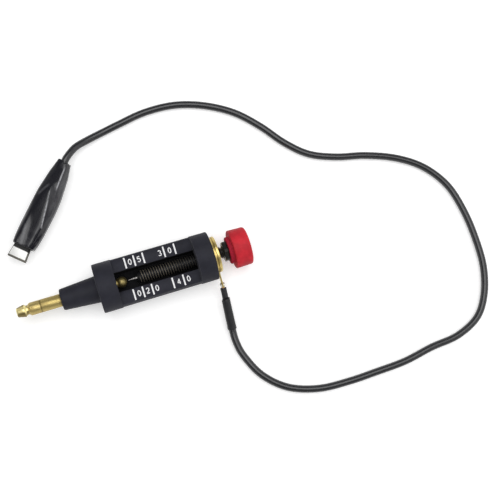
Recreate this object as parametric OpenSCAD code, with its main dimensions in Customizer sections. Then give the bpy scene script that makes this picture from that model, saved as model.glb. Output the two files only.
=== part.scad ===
// Adjustable spark gap tester with a plug terminal, a window with a needle gap and a ground lead with a clip.
// Millimetres. Origin in the middle of the nose's front face, +X along the axis to the knob,
// +Z out of the window.

/* [Body] */
// length of the tapered nose in front of the body
nose_len = 18.1; // [14:0.1:24]
// diameter of the nose at its front face
nose_front_d = 10.6; // [9.5:0.1:12]
// diameter of the nose where it meets the body
nose_root_d = 13.4; // [12.2:0.1:18]
// diameter of the two end collars
collar_d = 24.6; // [22:0.1:30]
// how far the back of the window section lies below the collars
mid_step = 0.25; // [0.1:0.05:1]
// length of the collar at the nose end
front_collar_len = 9.4; // [7:0.1:14]
// length of the window between the collars
window_len = 40.3; // [39:0.1:60]
// length of the collar at the knob end
rear_collar_len = 8.9; // [8:0.1:14]
// height of the scale flat above the axis
flat_z = 4.5; // [3.8:0.1:6]
// width of the window pocket
pocket_w = 9.8; // [8.5:0.1:12]
// depth of the pocket floor below the axis
pocket_z = 5.5; // [4.5:0.1:7]
// rounding of the outer edges of the collars
edge_r = 0.5; // [0.2:0.1:1]

/* [Plug terminal] */
// diameter of the bare barrel and of the cap
terminal_d = 6.35; // [6:0.05:7]
// length of the bare barrel between the nose and the cap
barrel_len = 10; // [8:0.1:14]
// length of the screw-on cap
cap_len = 11.7; // [10:0.1:14]
// diameter of the groove behind the head
groove_d = 4.7; // [4.6:0.1:5.6]
// largest diameter of the head
head_d = 6.1; // [5.7:0.1:6.3]
// diameter of the stud inside the cap
stud_d = 3.5; // [3:0.1:4]
// length of the stud inside the cap
stud_len = 6.5; // [4:0.1:8]
// gap all round the stud
stud_clear = 0.05; // [0.02:0.01:0.1]

/* [Ball electrode] */
// diameter of the rod through the nose and of the ball at its end
rod_d = 5.5; // [4.5:0.1:6]
// diameter of the neck that carries the ball
neck_d = 3.9; // [3:0.1:4.2]
// how far the ball reaches into the window
ball_reach = 5.3; // [4:0.1:7]
// gap all round the rod in the nose
rod_clear = 0.03; // [0.02:0.01:0.1]

/* [Needle and screw] */
// gap between the ball and the needle point, as drawn
spark_gap = 0.4; // [0.4:0.1:3]
// length of the bare needle
needle_len = 4.9; // [4:0.1:8]
// diameter of the needle
needle_d = 1.5; // [1:0.1:2]
// length of needle held in the screw
needle_grip = 6; // [4:0.1:9]
// gap all round the needle in the screw
needle_clear = 0.06; // [0.04:0.01:0.1]
// outer diameter of the thread
screw_d = 6.35; // [6:0.05:7]
// pitch of the thread
screw_pitch = 1.27; // [1:0.01:1.5]
// depth of the thread
thread_depth = 0.75; // [0.5:0.05:0.9]
// bare length of screw between the bush and the nut, as drawn
screw_out = 2.9; // [1.5:0.1:4]
// gap all round the thread in the bush
bush_clear = 0.1; // [0.05:0.01:0.1]
// gap all round the thread in the nut and the knob
grip_clear = 0.04; // [0.02:0.01:0.08]

/* [Nut and knob] */
// width of the nut across its flats
nut_af = 9.5; // [8.5:0.1:11]
// thickness of the nut
nut_t = 2.5; // [2:0.1:5]
// diameter of the hub of the knob
hub_d = 13.8; // [11:0.1:15]
// length of the hub
hub_len = 1.9; // [1:0.1:4]
// largest diameter of the knob, at its front edge
knob_d = 19.6; // [16:0.1:24]
// how much the radius of the knob falls towards its back
knob_draft = 0.2; // [0:0.05:0.5]
// length of the knob behind its hub
knob_len = 9.1; // [7:0.1:12]
// length of screw inside the knob
knob_grip = 7; // [5:0.1:8]

/* [Bush, washer and lug] */
// diameter of the bush inside the collar
bush_d = 10; // [9:0.1:11]
// diameter of the flange of the bush
flange_d = 18.4; // [15:0.1:19]
// thickness of the flange
flange_t = 1.4; // [0.8:0.1:2]
// how far the bush stays back from the window
bush_inset = 1.5; // [1:0.1:3]
// gap all round the bush
bush_fit = 0.03; // [0.02:0.01:0.1]
// diameter of the washer
washer_d = 18.6; // [16:0.1:20]
// thickness of the washer
washer_t = 0.7; // [0.6:0.1:1.5]
// diameter of the ring of the lug
lug_d = 17; // [14:0.1:18]
// thickness of the lug
lug_t = 0.7; // [0.6:0.1:1.2]
// reach of the tail of the lug from the axis
lug_reach = 17.1; // [13:0.1:20]
// width of the tail
tail_w = 3.2; // [2.8:0.1:4]
// angle of the tail below the level
lug_tilt = 14; // [8:1:15]

/* [Lead] */
// diameter of the lead
lead_d = 3.7; // [3:0.1:3.8]
// diameter of the bare wire
wire_d = 1.6; // [1:0.1:1.8]
// outer diameter of the narrow sleeve
small_sleeve_d = 3.1; // [2.4:0.1:3.4]
// length of the narrow sleeve
small_sleeve_len = 5.8; // [4:0.1:8]
// outer diameter of the wide sleeve
large_sleeve_d = 4.4; // [4.2:0.1:5]
// length of the wide sleeve
large_sleeve_len = 16; // [12:0.1:18]
// gap all round the wire and the lead in their sleeves
sleeve_clear = 0.05; // [0.02:0.01:0.1]
// gap between the lead and the surface it lies on
rest_clear = 0.1; // [0.05:0.05:0.5]

/* [Spring clip] */
// thickness of the stamped sheet
sheet_t = 0.6; // [0.5:0.05:0.7]
// half of the gap between the closed jaws
jaw_gap = 0.12; // [0.1:0.01:0.3]
// half of the width of the jaws at their tips
tip_half = 4.6; // [3.8:0.1:4.8]
// half of the width of the upper half at the rivet
inner_half = 3.1; // [2.8:0.1:3.2]
// side gap between the two halves at the rivet
ear_clear = 0.2; // [0.15:0.05:0.3]
// diameter of the rivet
rivet_d = 2.4; // [2:0.1:2.6]
// gap all round the rivet in the moving half
rivet_clear = 0.08; // [0.05:0.01:0.1]
// wire diameter of the spring
spring_wire_d = 0.6; // [0.4:0.05:0.7]
// pitch of the coils of the spring
spring_pitch = 1.06; // [1.02:0.01:1.15]
// wall of the boot
boot_wall = 0.8; // [0.6:0.1:1]

/* [Hidden] */
collar_r = collar_d / 2;
mid_r = collar_r - mid_step;
floor_z = -collar_r;
x_win0 = nose_len + front_collar_len;
x_win1 = x_win0 + window_len;
x_rear = x_win1 + rear_collar_len;
x_ball = x_win0 + ball_reach;
x_point = x_ball + spark_gap;
x_screw = x_point + needle_len;
x_lug = x_rear + washer_t;
x_flange = x_lug + lug_t;
x_nut = x_flange + flange_t + screw_out;
x_hub = x_nut + nut_t;
x_knob = x_hub + hub_len;
x_end = x_knob + knob_len;
x_screw_end = x_hub + knob_grip;
screw_r = screw_d / 2;
root_r = screw_r - thread_depth;
wire_r = wire_d / 2;
lead_r = lead_d / 2;

// the sleeves start behind the solder bead at the end of the tail and turn a little toward the nose
lead_yaw = -3;
notch_len = 2.4;
small_s = 0.2;
bead_r = 1.4;
jacket_s = small_s + small_sleeve_len;
exit_s = jacket_s + large_sleeve_len;

// a point at distance s along the sleeves, in the frame of the part
function sleeve_point(s) =
    let (lx = s * sin(lead_yaw), ly = -lug_reach - s * cos(lead_yaw))
    [x_lug + lug_t / 2 + lx, ly * cos(lug_tilt), ly * sin(lug_tilt)];
exit = sleeve_point(exit_s);

// the ball: points of its half circle from the neck to its front, by the angle from the back
neck_inset = 0.3;
ball_steps = 20;
function ball_point(a) = [x_ball - rod_d / 2 * (1 + cos(a)), rod_d / 2 * sin(a)];

// the lead lies in one open loop: offsets from the end of the wide sleeve and heights over its rest height
lead_run = [
    [0, -6.7, 0.3],
    [1.7, -14.6, 0],
    [7.7, -26.6, 0],
    [18.6, -36.5, 0],
    [33.5, -41.9, 0],
    [49.5, -43.2, 0],
    [65.5, -43, 0],
    [81.6, -42.4, 0],
    [97.5, -39.8, 0],
    [112.7, -38.3, 0],
    [126.1, -32.5, 0],
    [134.1, -22, 0],
    [138.7, -7.7, 0],
    [139.5, 8.3, 0],
    [138.1, 24.3, 0],
    [133.9, 39.5, 0],
    [124.5, 52.3, 0],
    [111.4, 61.1, 0],
    [95.7, 67, 0],
    [80.2, 70.5, 0],
    [66.3, 76, 0],
    [55.5, 85.3, 0],
    [45.9, 97.1, 0],
    [34.6, 107.9, 0],
    [20.5, 115.7, 0],
    [5.4, 120, 0],
    [-10.5, 120.3, 0],
    [-25.4, 117.5, 0.4]
];
lead_z = floor_z + lead_r + rest_clear;

// the clip lies at the far end of the lead: middle of the mouth of the boot and its direction
clip_off = [-87.6, 69.2];
clip_yaw = -131;
boot_rise = 7.05;
clip_z = floor_z + boot_rise;
function clip_point(p) = [
    exit[0] + clip_off[0] + p[0] * cos(clip_yaw) - p[1] * sin(clip_yaw),
    exit[1] + clip_off[1] + p[0] * sin(clip_yaw) + p[1] * cos(clip_yaw),
    clip_z + p[2]
];
// the bare wire lies on the handle of the lower jaw, and the jacket ends just behind it
wire_u = -36;
tail_top = -3.4;
wire_lift = 0.1;
strip_gap = 0.1;
wire_z = tail_top + wire_lift + wire_r;
clip_tail = [
    [-71, 10.5, -4.8],
    [-63, 5, -3.4],
    [-56.5, 1.4, -1.4],
    [-50, 0.1, 0.1],
    [-46.5, 0.1, 0],
    [-43, 0, wire_z + 1.5],
    [-39.8, 0, wire_z + 0.3],
    [-38.2, 0, wire_z],
    [wire_u - strip_gap, 0, wire_z]
];

route = concat(
    [sleeve_point(jacket_s), sleeve_point((jacket_s + exit_s) / 2), exit],
    [for (p = lead_run) [exit[0] + p[0], exit[1] + p[1], lead_z + p[2]]],
    [for (p = clip_tail) clip_point(p)]
);
sub_steps = 2;
lead_sides = 8;
function spline(a, b, c, d, t) =
    b + 0.5 * t * (c - a + t * (2 * a - 5 * b + 4 * c - d + t * (3 * (b - c) + d - a)));
function knot(i) = route[max(0, min(len(route) - 1, i))];
lead_path = [
    for (i = [0:len(route) - 2])
        for (s = [0:sub_steps - 1])
            spline(knot(i - 1), knot(i), knot(i + 1), knot(i + 2), s / sub_steps),
    route[len(route) - 1]
];
function unit(v) = v / norm(v);
function heading(path, i) = unit(path[min(len(path) - 1, i + 1)] - path[max(0, i - 1)]);

// a round tube along a path: rings of points, joined in order, with flat ends
function tube_points(path, r, n, up) = [
    for (i = [0:len(path) - 1])
        let (t = heading(path, i), s = unit(cross(t, up)), u = cross(s, t))
            for (j = [0:n - 1])
                path[i] + r * (cos(360 * (j + 0.5) / n) * s + sin(360 * (j + 0.5) / n) * u)
];
function tube_faces(m, n) = concat(
    [
        for (i = [0:m - 2])
            for (j = [0:n - 1])
                for (f = [0, 1])
                    let (a = i * n + j, b = i * n + (j + 1) % n)
                        f == 0 ? [a, a + n, b] : [b, a + n, b + n]
    ],
    [[for (j = [0:n - 1]) j]],
    [[for (j = [n - 1:-1:0]) (m - 1) * n + j]]
);

// the spring: a leg, the coils round the rivet and a second leg
pivot_u = -13;
spring_r = rivet_d / 2 + 0.25 + spring_wire_d / 2;
leg_tilt = 14;
leg_len = 8;
coil_turn = 360 * 3 + 180 - 2 * leg_tilt;
coil_steps = 44;
coil_half = spring_pitch * coil_turn / 360 / 2;
function coil_point(q) =
    let (a = 90 - leg_tilt - q * coil_turn)
    [pivot_u + spring_r * cos(a), coil_half * (1 - 2 * q), spring_r * sin(a)];
spring_path = concat(
    [coil_point(0) + leg_len * [-cos(leg_tilt), 0, sin(leg_tilt)]],
    [for (i = [0:coil_steps]) coil_point(i / coil_steps)],
    [coil_point(1) + leg_len * [-cos(leg_tilt), 0, -sin(leg_tilt)]]
);
spring_gap = spring_pitch - spring_wire_d;
echo(spring_gap = spring_gap);

// the thread: four points a turn of the profile on a helix
turn_sides = 18;
thread_start = 0.5;
turns = floor((x_hub - x_screw - thread_start) / screw_pitch);
last = turn_sides * turns;
part_of_pitch = [0, 0.22, 0.54, 0.68];
function rise(i) = max(0, min(1, i / turn_sides * 2, (last - turn_sides - i) / turn_sides * 2));
function around(x, r, i) = [x, r * cos(360 * i / turn_sides), r * sin(360 * i / turn_sides)];
function thread_point(i, k) = around(
    x_screw + thread_start + screw_pitch * (i / turn_sides + part_of_pitch[k]),
    root_r + (k > 1 ? thread_depth * rise(i) : 0),
    i
);
bore_r = needle_d / 2 + needle_clear + 0.02;
chamfer_r = root_r - 0.25;
ring0 = 4 * (last + 1);
screw_points = concat(
    [for (i = [0:last]) for (k = [0:3]) thread_point(i, k)],
    [for (j = [0:turn_sides - 1]) around(x_screw, chamfer_r, j)],
    [for (j = [0:turn_sides - 1]) around(x_screw, bore_r, j)],
    [for (j = [0:turn_sides - 1]) around(x_screw + needle_grip + 0.3, bore_r, j)],
    [for (j = [0:turn_sides - 1]) around(x_screw_end, chamfer_r, j)]
);
function at(i, k) = 4 * i + k;
function ring(m, j) = ring0 + m * turn_sides + j % turn_sides;
function quad(a, b, c, d) = [[a, b, c], [a, c, d]];
screw_faces = concat(
    [
        for (i = [0:last - 1])
            for (k = [0:2])
                each quad(at(i, k), at(i, k + 1), at(i + 1, k + 1), at(i + 1, k))
    ],
    [
        for (i = [0:last - turn_sides - 1])
            each quad(at(i, 3), at(i + turn_sides, 0), at(i + turn_sides + 1, 0), at(i + 1, 3))
    ],
    [for (j = [0:turn_sides - 1]) each quad(ring(0, j), at(j, 0), at(j + 1, 0), ring(0, j + 1))],
    [[ring(0, 0), at(turn_sides, 0), at(0, 3)]],
    [for (k = [2:-1:0]) [ring(0, 0), at(0, k + 1), at(0, k)]],
    [for (j = [0:turn_sides - 1]) each quad(ring(0, j), ring(0, j + 1), ring(1, j + 1), ring(1, j))],
    [for (j = [0:turn_sides - 1]) each quad(ring(1, j), ring(1, j + 1), ring(2, j + 1), ring(2, j))],
    [[for (j = [0:turn_sides - 1]) ring(2, j)]],
    [
        for (j = [0:turn_sides - 1])
            let (i = last - turn_sides + j)
                each quad(at(i, 3), ring(3, j), ring(3, j + 1), at(i + 1, 3))
    ],
    [[ring(3, 0), at(last - turn_sides, 3), at(last, 0)]],
    [for (k = [0:2]) [ring(3, 0), at(last, k), at(last, k + 1)]],
    [[for (j = [turn_sides - 1:-1:0]) ring(3, j)]]
);

// half of the width of the mouth of the boot and the side gap between the mouth and the jaws
boot_mouth_half = 5.4;
mouth_clear = 0.7;
// the boot: half width, half height, squareness, middle height and side offset at stations behind its mouth
boot_stations = [
    [-47, 3.4, 3.4, 2.6, 0.3, 0.2],
    [-43.5, 4.1, 4.2, 2.6, 0.2, 0.3],
    [-40, 4.8, 5.3, 2.8, 0, 0.4],
    [-35, 5.4, 6.4, 3, 0, 0.5],
    [-29, 6.1, 7, 3, 0, 0.6],
    [-22, 6.4, 6.9, 3, 0, 0.7],
    [-15, 6.4, 6.3, 3.2, 0, 0.6],
    [-8, 6.3, 5.4, 3.6, 0, 0.5],
    [-3, 5.9, 4.7, 4.6, 0, 0.4],
    [0, boot_mouth_half, 4.4, 5, 0, 0.3]
];
boot_sides = 28;
function lobe(c, n) = sign(c) * pow(abs(c), 2 / n);
function boot_ring(s, inset) = [
    for (j = [0:boot_sides - 1])
        let (a = 360 * j / boot_sides)
            [s[0], s[5] + (s[1] - inset) * lobe(cos(a), s[3]), s[4] + (s[2] - inset) * lobe(sin(a), s[3])]
];
boot_rings = len(boot_stations);
boot_points = concat(
    [for (s = boot_stations) each boot_ring(s, 0)],
    [for (i = [boot_rings - 1:-1:0]) each boot_ring(boot_stations[i], boot_wall)]
);
function boot_faces(m, n) = [
    for (i = [0:m - 1])
        for (j = [0:n - 1])
            let (k = (j + 1) % n, a = i * n, b = ((i + 1) % m) * n)
                each [[a + j, b + j, a + k], [a + k, b + j, b + k]]
];

echo(exit = exit);
echo(pivot = clip_point([pivot_u, 0, 0]));
echo(jaw_tip = clip_point([tip_u, 0, 0]));
echo(knob_end = x_end);
echo(point = x_point);

// a turned solid about the X axis from points of axial place and radius
module turned(points, sides = 96) {
    rotate([0, 90, 0])
        rotate_extrude($fn = sides)
            polygon([for (p = points) [p[1], p[0]]]);
}

// a round bar along X
module bar(x0, x1, r, sides = 64) {
    translate([x0, 0, 0])
        rotate([0, 90, 0])
            cylinder(r = r, h = x1 - x0, $fn = sides);
}

// points of a rounded corner
function corner(cx, cr, r, a0, a1) = [
    for (i = [0:4])
        let (a = a0 + (a1 - a0) * i / 4)
            [cx + r * cos(a), cr + r * sin(a)]
];

module housing() {
    color([0.07, 0.07, 0.08])
        difference() {
            turned(concat(
                [[0, 0], [0, nose_front_d / 2 - 0.4], [0.4, nose_front_d / 2], [nose_len, nose_root_d / 2]],
                corner(nose_len + edge_r, collar_r - edge_r, edge_r, 180, 90),
                [[x_win0, collar_r], [x_win0, mid_r], [x_win1, mid_r], [x_win1, collar_r]],
                corner(x_rear - edge_r, collar_r - edge_r, edge_r, 90, 0),
                [[x_rear, 0]]
            ));
            translate([x_win0, -collar_r, flat_z])
                cube([window_len, collar_d, collar_d]);
            translate([x_win0, -pocket_w / 2, -pocket_z])
                cube([window_len, pocket_w, collar_d]);
            bar(-1, x_win0 + 1, rod_d / 2 + rod_clear);
            bar(x_win1 - 1, x_rear, screw_r + 0.5);
            bar(x_win1 + bush_inset, x_rear + 1, bush_d / 2 + bush_fit);
        }
}

module terminal_cap() {
    x0 = -barrel_len - cap_len;
    t = terminal_d / 2;
    color([0.8, 0.63, 0.3])
        difference() {
            turned([
                [x0, 0],
                [x0, head_d / 2 - 0.95],
                [x0 + 0.25, head_d / 2 - 0.75],
                [x0 + 3.4, head_d / 2],
                [x0 + 3.8, head_d / 2],
                [x0 + 4.7, groove_d / 2],
                [x0 + 5.5, groove_d / 2],
                [x0 + 6.5, t],
                [-barrel_len - 0.2, t],
                [-barrel_len, t - 0.2],
                [-barrel_len, 0]
            ]);
            bar(-barrel_len - stud_len - 0.3, 0, stud_d / 2 + stud_clear, 48);
        }
}

module electrode_rod() {
    r = rod_d / 2;
    t = terminal_d / 2;
    a0 = asin(neck_d / rod_d);
    color([0.8, 0.63, 0.3])
        turned(concat(
            [
                [-barrel_len - stud_len, 0],
                [-barrel_len - stud_len, stud_d / 2],
                [-barrel_len, stud_d / 2],
                [-barrel_len, t],
                [0, t],
                [0, r],
                [x_win0 - neck_inset, r],
                [x_win0 - neck_inset, neck_d / 2]
            ],
            [for (i = [0:ball_steps - 1]) ball_point(a0 + (180 - a0) * i / ball_steps)],
            [[x_ball, 0]]
        ));
}

module needle() {
    color([0.75, 0.76, 0.78])
        turned([
            [x_point, 0],
            [x_point, 0.08],
            [x_screw - 0.1, needle_d / 2],
            [x_screw + needle_grip, needle_d / 2],
            [x_screw + needle_grip, 0]
        ], 48);
}

module adjusting_screw() {
    color([0.1, 0.1, 0.11])
        polyhedron(screw_points, screw_faces, 20);
}

module jam_nut() {
    af = nut_af / 2;
    ac = af / cos(30);
    color([0.08, 0.08, 0.09])
        difference() {
            intersection() {
                translate([x_nut, 0, 0])
                    rotate([0, 90, 0])
                        cylinder(r = ac, h = nut_t, $fn = 6);
                turned([
                    [x_nut, 0],
                    [x_nut, af],
                    [x_nut + 0.4, ac],
                    [x_hub - 0.4, ac],
                    [x_hub, af],
                    [x_hub, 0]
                ]);
            }
            bar(x_nut - 1, x_hub + 1, screw_r + grip_clear);
        }
}

module knob() {
    r = knob_d / 2;
    front_bevel = 0.4;
    back_r = 1.3;
    back_crown = 0.2;
    color([0.75, 0.07, 0.1])
        difference() {
            turned(concat(
                [[x_hub, 0], [x_hub, hub_d / 2 - 0.3], [x_hub + 0.3, hub_d / 2], [x_knob, hub_d / 2]],
                [[x_knob, r - front_bevel], [x_knob + front_bevel, r]],
                corner(x_end - back_r - back_crown, r - knob_draft - back_r, back_r, 90, 15),
                [[x_end, 0]]
            ));
            bar(x_hub - 1, x_screw_end + 0.3, screw_r + grip_clear);
        }
}

module threaded_bush() {
    color([0.8, 0.63, 0.3])
        difference() {
            turned([
                [x_win1 + bush_inset, 0],
                [x_win1 + bush_inset, bush_d / 2],
                [x_flange, bush_d / 2],
                [x_flange, flange_d / 2],
                [x_flange + flange_t - 0.2, flange_d / 2],
                [x_flange + flange_t, flange_d / 2 - 0.2],
                [x_flange + flange_t, 0]
            ]);
            bar(x_win1, x_hub, screw_r + bush_clear);
        }
}

module lug_washer() {
    color([0.8, 0.63, 0.3])
        difference() {
            bar(x_rear, x_lug, washer_d / 2, 96);
            bar(x_rear - 1, x_lug + 1, bush_d / 2 + bush_fit);
        }
}

// the frame of the tail: the tail runs along -Y
module at_lug() {
    translate([x_lug + lug_t / 2, 0, 0])
        rotate([lug_tilt, 0, 0])
            children();
}

// the frame of the sleeves: they run along +Z from the end of the tail
module at_sleeve() {
    at_lug()
        translate([0, -lug_reach, 0])
            rotate([0, 0, lead_yaw])
                rotate([90, 0, 0])
                    children();
}

module tail() {
    difference() {
        translate([-lug_t / 2, -lug_reach, -tail_w / 2])
            cube([lug_t, lug_reach, tail_w]);
        translate([-lug_t, -lug_reach - 1, -wire_r - 0.02])
            cube([2 * lug_t, notch_len + 1, wire_d + 0.04]);
    }
}

module solder_lug() {
    color([0.82, 0.66, 0.34])
        at_lug()
            difference() {
                union() {
                    bar(-lug_t / 2, lug_t / 2, lug_d / 2, 96);
                    tail();
                }
                bar(-lug_t, lug_t, bush_d / 2 + bush_fit);
            }
}

module lug_wire() {
    color([0.75, 0.45, 0.25])
        at_sleeve()
            translate([0, 0, -notch_len + 0.2])
                cylinder(r = wire_r, h = jacket_s + notch_len - 0.2, $fn = 32);
}

module lug_solder() {
    color([0.78, 0.79, 0.8])
        difference() {
            at_sleeve()
                translate([0, 0, small_s - bead_r - 0.15])
                    sphere(r = bead_r, $fn = 40);
            at_lug()
                tail();
            at_sleeve()
                translate([0, 0, -4])
                    cylinder(r = wire_r, h = 8, $fn = 32);
        }
}

module sleeve_small() {
    color([0.05, 0.05, 0.06])
        at_sleeve()
            translate([0, 0, small_s])
                difference() {
                    cylinder(d = small_sleeve_d, h = small_sleeve_len, $fn = 40);
                    translate([0, 0, -1])
                        cylinder(r = wire_r + sleeve_clear, h = small_sleeve_len + 2, $fn = 32);
                }
}

module sleeve_large() {
    color([0.06, 0.06, 0.07])
        at_sleeve()
            translate([0, 0, jacket_s])
                difference() {
                    cylinder(d = large_sleeve_d, h = large_sleeve_len, $fn = 40);
                    translate([0, 0, -1])
                        cylinder(r = lead_r + sleeve_clear, h = large_sleeve_len + 2, $fn = 40);
                }
}

module test_lead() {
    color([0.12, 0.12, 0.14])
        polyhedron(
            tube_points(lead_path, lead_r, lead_sides, [0, 0, 1]),
            tube_faces(len(lead_path), lead_sides),
            10
        );
}

// the frame of the clip: +X out of the mouth of the boot, middle plane between the jaws at Z = 0
module at_clip() {
    translate(clip_point([0, 0, 0]))
        rotate([0, 0, clip_yaw])
            children();
}

tooth_pitch = 1.7;
teeth = 6;
tip_u = 6.9;
mouth_half = boot_mouth_half - boot_wall - mouth_clear;
mouth_plan = [[0, mouth_half], [tip_u, tip_half], [tip_u + 1, tip_half]];
// the toothed edge of a jaw from its tip backward
tooth_edge = [
    for (i = [0:teeth - 1])
        each [
            [tip_u - 0.7 - i * tooth_pitch, jaw_gap],
            [tip_u - 0.7 - (i + 0.5) * tooth_pitch, jaw_gap + 0.9]
        ]
];
ear_r = 2.2;
// half of the width of the lower handle behind the rivet
tail_half = 2.7;
ear_edge = [for (i = [0:6]) let (a = -20 - i * 23) [pivot_u + ear_r * cos(a), ear_r * sin(a)]];
jaw_front = concat(
    [[-8, 3.6], [0, 2.4], [tip_u - 0.6, 2.2], [tip_u, 1.8], [tip_u, jaw_gap]],
    tooth_edge,
    [[-7, 1.2]]
);
upper_back = [[-29, 4.1], [-29, 5], [pivot_u - 7, 4.6], [pivot_u, 4]];
lower_back = [
    [-22, 3.7],
    [-27, 4.2],
    [-30, 3.2],
    [-35.4, 3.2],
    [-35.4, 4],
    [-30, 4],
    [-27, 5],
    [-20, 4.6],
    [pivot_u, 4]
];
lower_inside = [[-36, 3.4], [-30, 3.4], [-27, 4.4], [-20, 4], [pivot_u, 3.4]];
upper_inside = [[-30, 4.4], [pivot_u - 7, 4], [pivot_u, 3.4]];
front_inside = [[-8, 3], [0, 1.8], [tip_u - 0.6, 1.6], [tip_u - 0.6, -4], [-40, -4]];

// a stamped half: a side outline cut to a plan, hollowed from below
module stamped(outline, inside, plan, inner_plan) {
    difference() {
        intersection() {
            rotate([90, 0, 0])
                linear_extrude(height = 20, center = true)
                    polygon(outline);
            linear_extrude(height = 20, center = true)
                polygon(plan);
        }
        intersection() {
            rotate([90, 0, 0])
                linear_extrude(height = 20, center = true)
                    polygon(inside);
            linear_extrude(height = 20, center = true)
                polygon(inner_plan);
        }
    }
}

// a symmetric plan from places along the clip and half widths
function plan(p, less) = concat(
    [for (q = p) [q[0], q[1] - less]],
    [for (i = [len(p) - 1:-1:0]) [p[i][0], less - p[i][1]]]
);

module cross_hole(r) {
    translate([pivot_u, 0, 0])
        rotate([90, 0, 0])
            cylinder(r = r, h = 20, center = true, $fn = 40);
}

module clip_upper_jaw() {
    shape = concat([[-40, inner_half], [-4, inner_half]], mouth_plan);
    color([0.78, 0.79, 0.8])
        at_clip()
            difference() {
                stamped(
                    concat(jaw_front, ear_edge, [[-17, 1], [-21, 3.4]], upper_back),
                    concat(upper_inside, front_inside),
                    plan(shape, 0),
                    plan(shape, sheet_t)
                );
                cross_hole(rivet_d / 2 + rivet_clear);
            }
}

module clip_lower_jaw() {
    ear_half = inner_half + ear_clear + sheet_t;
    shape = concat([[-40, tail_half], [-25, tail_half], [pivot_u - 5.5, ear_half], [-6, ear_half]], mouth_plan);
    color([0.74, 0.75, 0.76])
        at_clip()
            difference() {
                mirror([0, 0, 1])
                    stamped(
                        concat(jaw_front, ear_edge, [[-17, 1]], lower_back),
                        concat(lower_inside, front_inside),
                        plan(shape, 0),
                        plan(shape, sheet_t)
                    );
                cross_hole(rivet_d / 2 + 0.02);
            }
}

module clip_rivet() {
    half = inner_half + ear_clear + sheet_t;
    color([0.7, 0.7, 0.72])
        at_clip()
            translate([pivot_u, 0, 0])
                rotate([90, 0, 0])
                    rotate_extrude($fn = 48)
                        polygon([
                            [0, -half - 0.5],
                            [1.5, -half - 0.5],
                            [1.9, -half],
                            [rivet_d / 2, -half],
                            [rivet_d / 2, half],
                            [1.9, half],
                            [1.5, half + 0.5],
                            [0, half + 0.5]
                        ]);
}

module clip_spring() {
    color([0.6, 0.6, 0.62])
        at_clip()
            polyhedron(
                tube_points(spring_path, spring_wire_d / 2, 8, [0, 1, 0]),
                tube_faces(len(spring_path), 8),
                10
            );
}

module clip_boot() {
    color([0.04, 0.04, 0.05])
        at_clip()
            polyhedron(boot_points, boot_faces(2 * boot_rings, boot_sides), 10);
}

module clip_wire() {
    color([0.75, 0.45, 0.25])
        at_clip()
            translate([wire_u, 0, wire_z])
                rotate([0, 90, 0])
                    cylinder(r = wire_r, h = 6.5, $fn = 32);
}

module clip_solder() {
    color([0.78, 0.79, 0.8])
        at_clip()
            difference() {
                translate([-34.2, 0, wire_z])
                    rotate([0, 90, 0])
                        cylinder(r = wire_r + 0.6, h = 3.4, $fn = 40);
                translate([-40, -5, tail_top - 6])
                    cube([20, 10, 6]);
                translate([-40, 0, wire_z])
                    rotate([0, 90, 0])
                        cylinder(r = wire_r, h = 20, $fn = 32);
            }
}

housing();
terminal_cap();
electrode_rod();
needle();
adjusting_screw();
jam_nut();
knob();
threaded_bush();
lug_washer();
solder_lug();
lug_wire();
lug_solder();
sleeve_small();
sleeve_large();
test_lead();
clip_lower_jaw();
clip_upper_jaw();
clip_rivet();
clip_spring();
clip_boot();
clip_wire();
clip_solder();
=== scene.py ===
"""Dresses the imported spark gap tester: finishes, printed scale, free lead and the clip's boot."""
import logging
import math
from dataclasses import dataclass, field, replace
from enum import Enum
from typing import Any, Callable, Iterable, Sequence

import bmesh
import bpy
from mathutils import Matrix, Vector, noise


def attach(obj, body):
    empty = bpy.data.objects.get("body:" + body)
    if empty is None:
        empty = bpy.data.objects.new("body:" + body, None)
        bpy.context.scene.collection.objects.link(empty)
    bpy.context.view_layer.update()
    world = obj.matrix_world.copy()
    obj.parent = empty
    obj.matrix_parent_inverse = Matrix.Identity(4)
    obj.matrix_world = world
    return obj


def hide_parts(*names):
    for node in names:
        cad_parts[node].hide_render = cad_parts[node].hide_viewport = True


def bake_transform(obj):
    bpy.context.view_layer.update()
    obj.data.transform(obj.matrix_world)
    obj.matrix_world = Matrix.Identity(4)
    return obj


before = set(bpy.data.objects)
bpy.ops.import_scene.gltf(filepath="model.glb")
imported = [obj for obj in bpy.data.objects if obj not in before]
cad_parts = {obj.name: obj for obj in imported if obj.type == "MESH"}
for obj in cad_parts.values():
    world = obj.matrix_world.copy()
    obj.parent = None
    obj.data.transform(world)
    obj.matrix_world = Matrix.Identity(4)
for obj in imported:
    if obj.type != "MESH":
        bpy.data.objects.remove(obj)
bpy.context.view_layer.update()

LOG = logging.getLogger("tester")
MM = 0.001
WHITE = (1.0, 1.0, 1.0, 1.0)
LINE_CORE = 0.3  # share of a soft line's half width that is full
WELD_MM = 0.0005
EDGE_STEPS = 2
EDGE_ANGLE_DEG = 32.0
Point = Sequence[float]
Pair = tuple[float, float]
Triple = tuple[float, float, float]
Colour = Triple


class Body(Enum):
    """The rigid bodies that the made pieces ride on."""

    BODY = "body"
    ADJUSTER = "adjuster"
    JAW = "jaw"


def operator(operation: str, reflected: bool = False) -> Callable[..., "Sock"]:
    """Makes a method of Sock that adds one Math node.

    Args:
        operation: the node's operation.
        reflected: whether the other value comes first.

    Returns:
        The method, which takes the other value if the operation has one.
    """

    def method(sock: "Sock", *others: "Sock | float") -> "Sock":
        """Adds the Math node and returns its result."""
        values = (*others, sock) if reflected else (sock, *others)
        return sock.graph.node("ShaderNodeMath", {"operation": operation}, dict(enumerate(values)))

    return method


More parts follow.
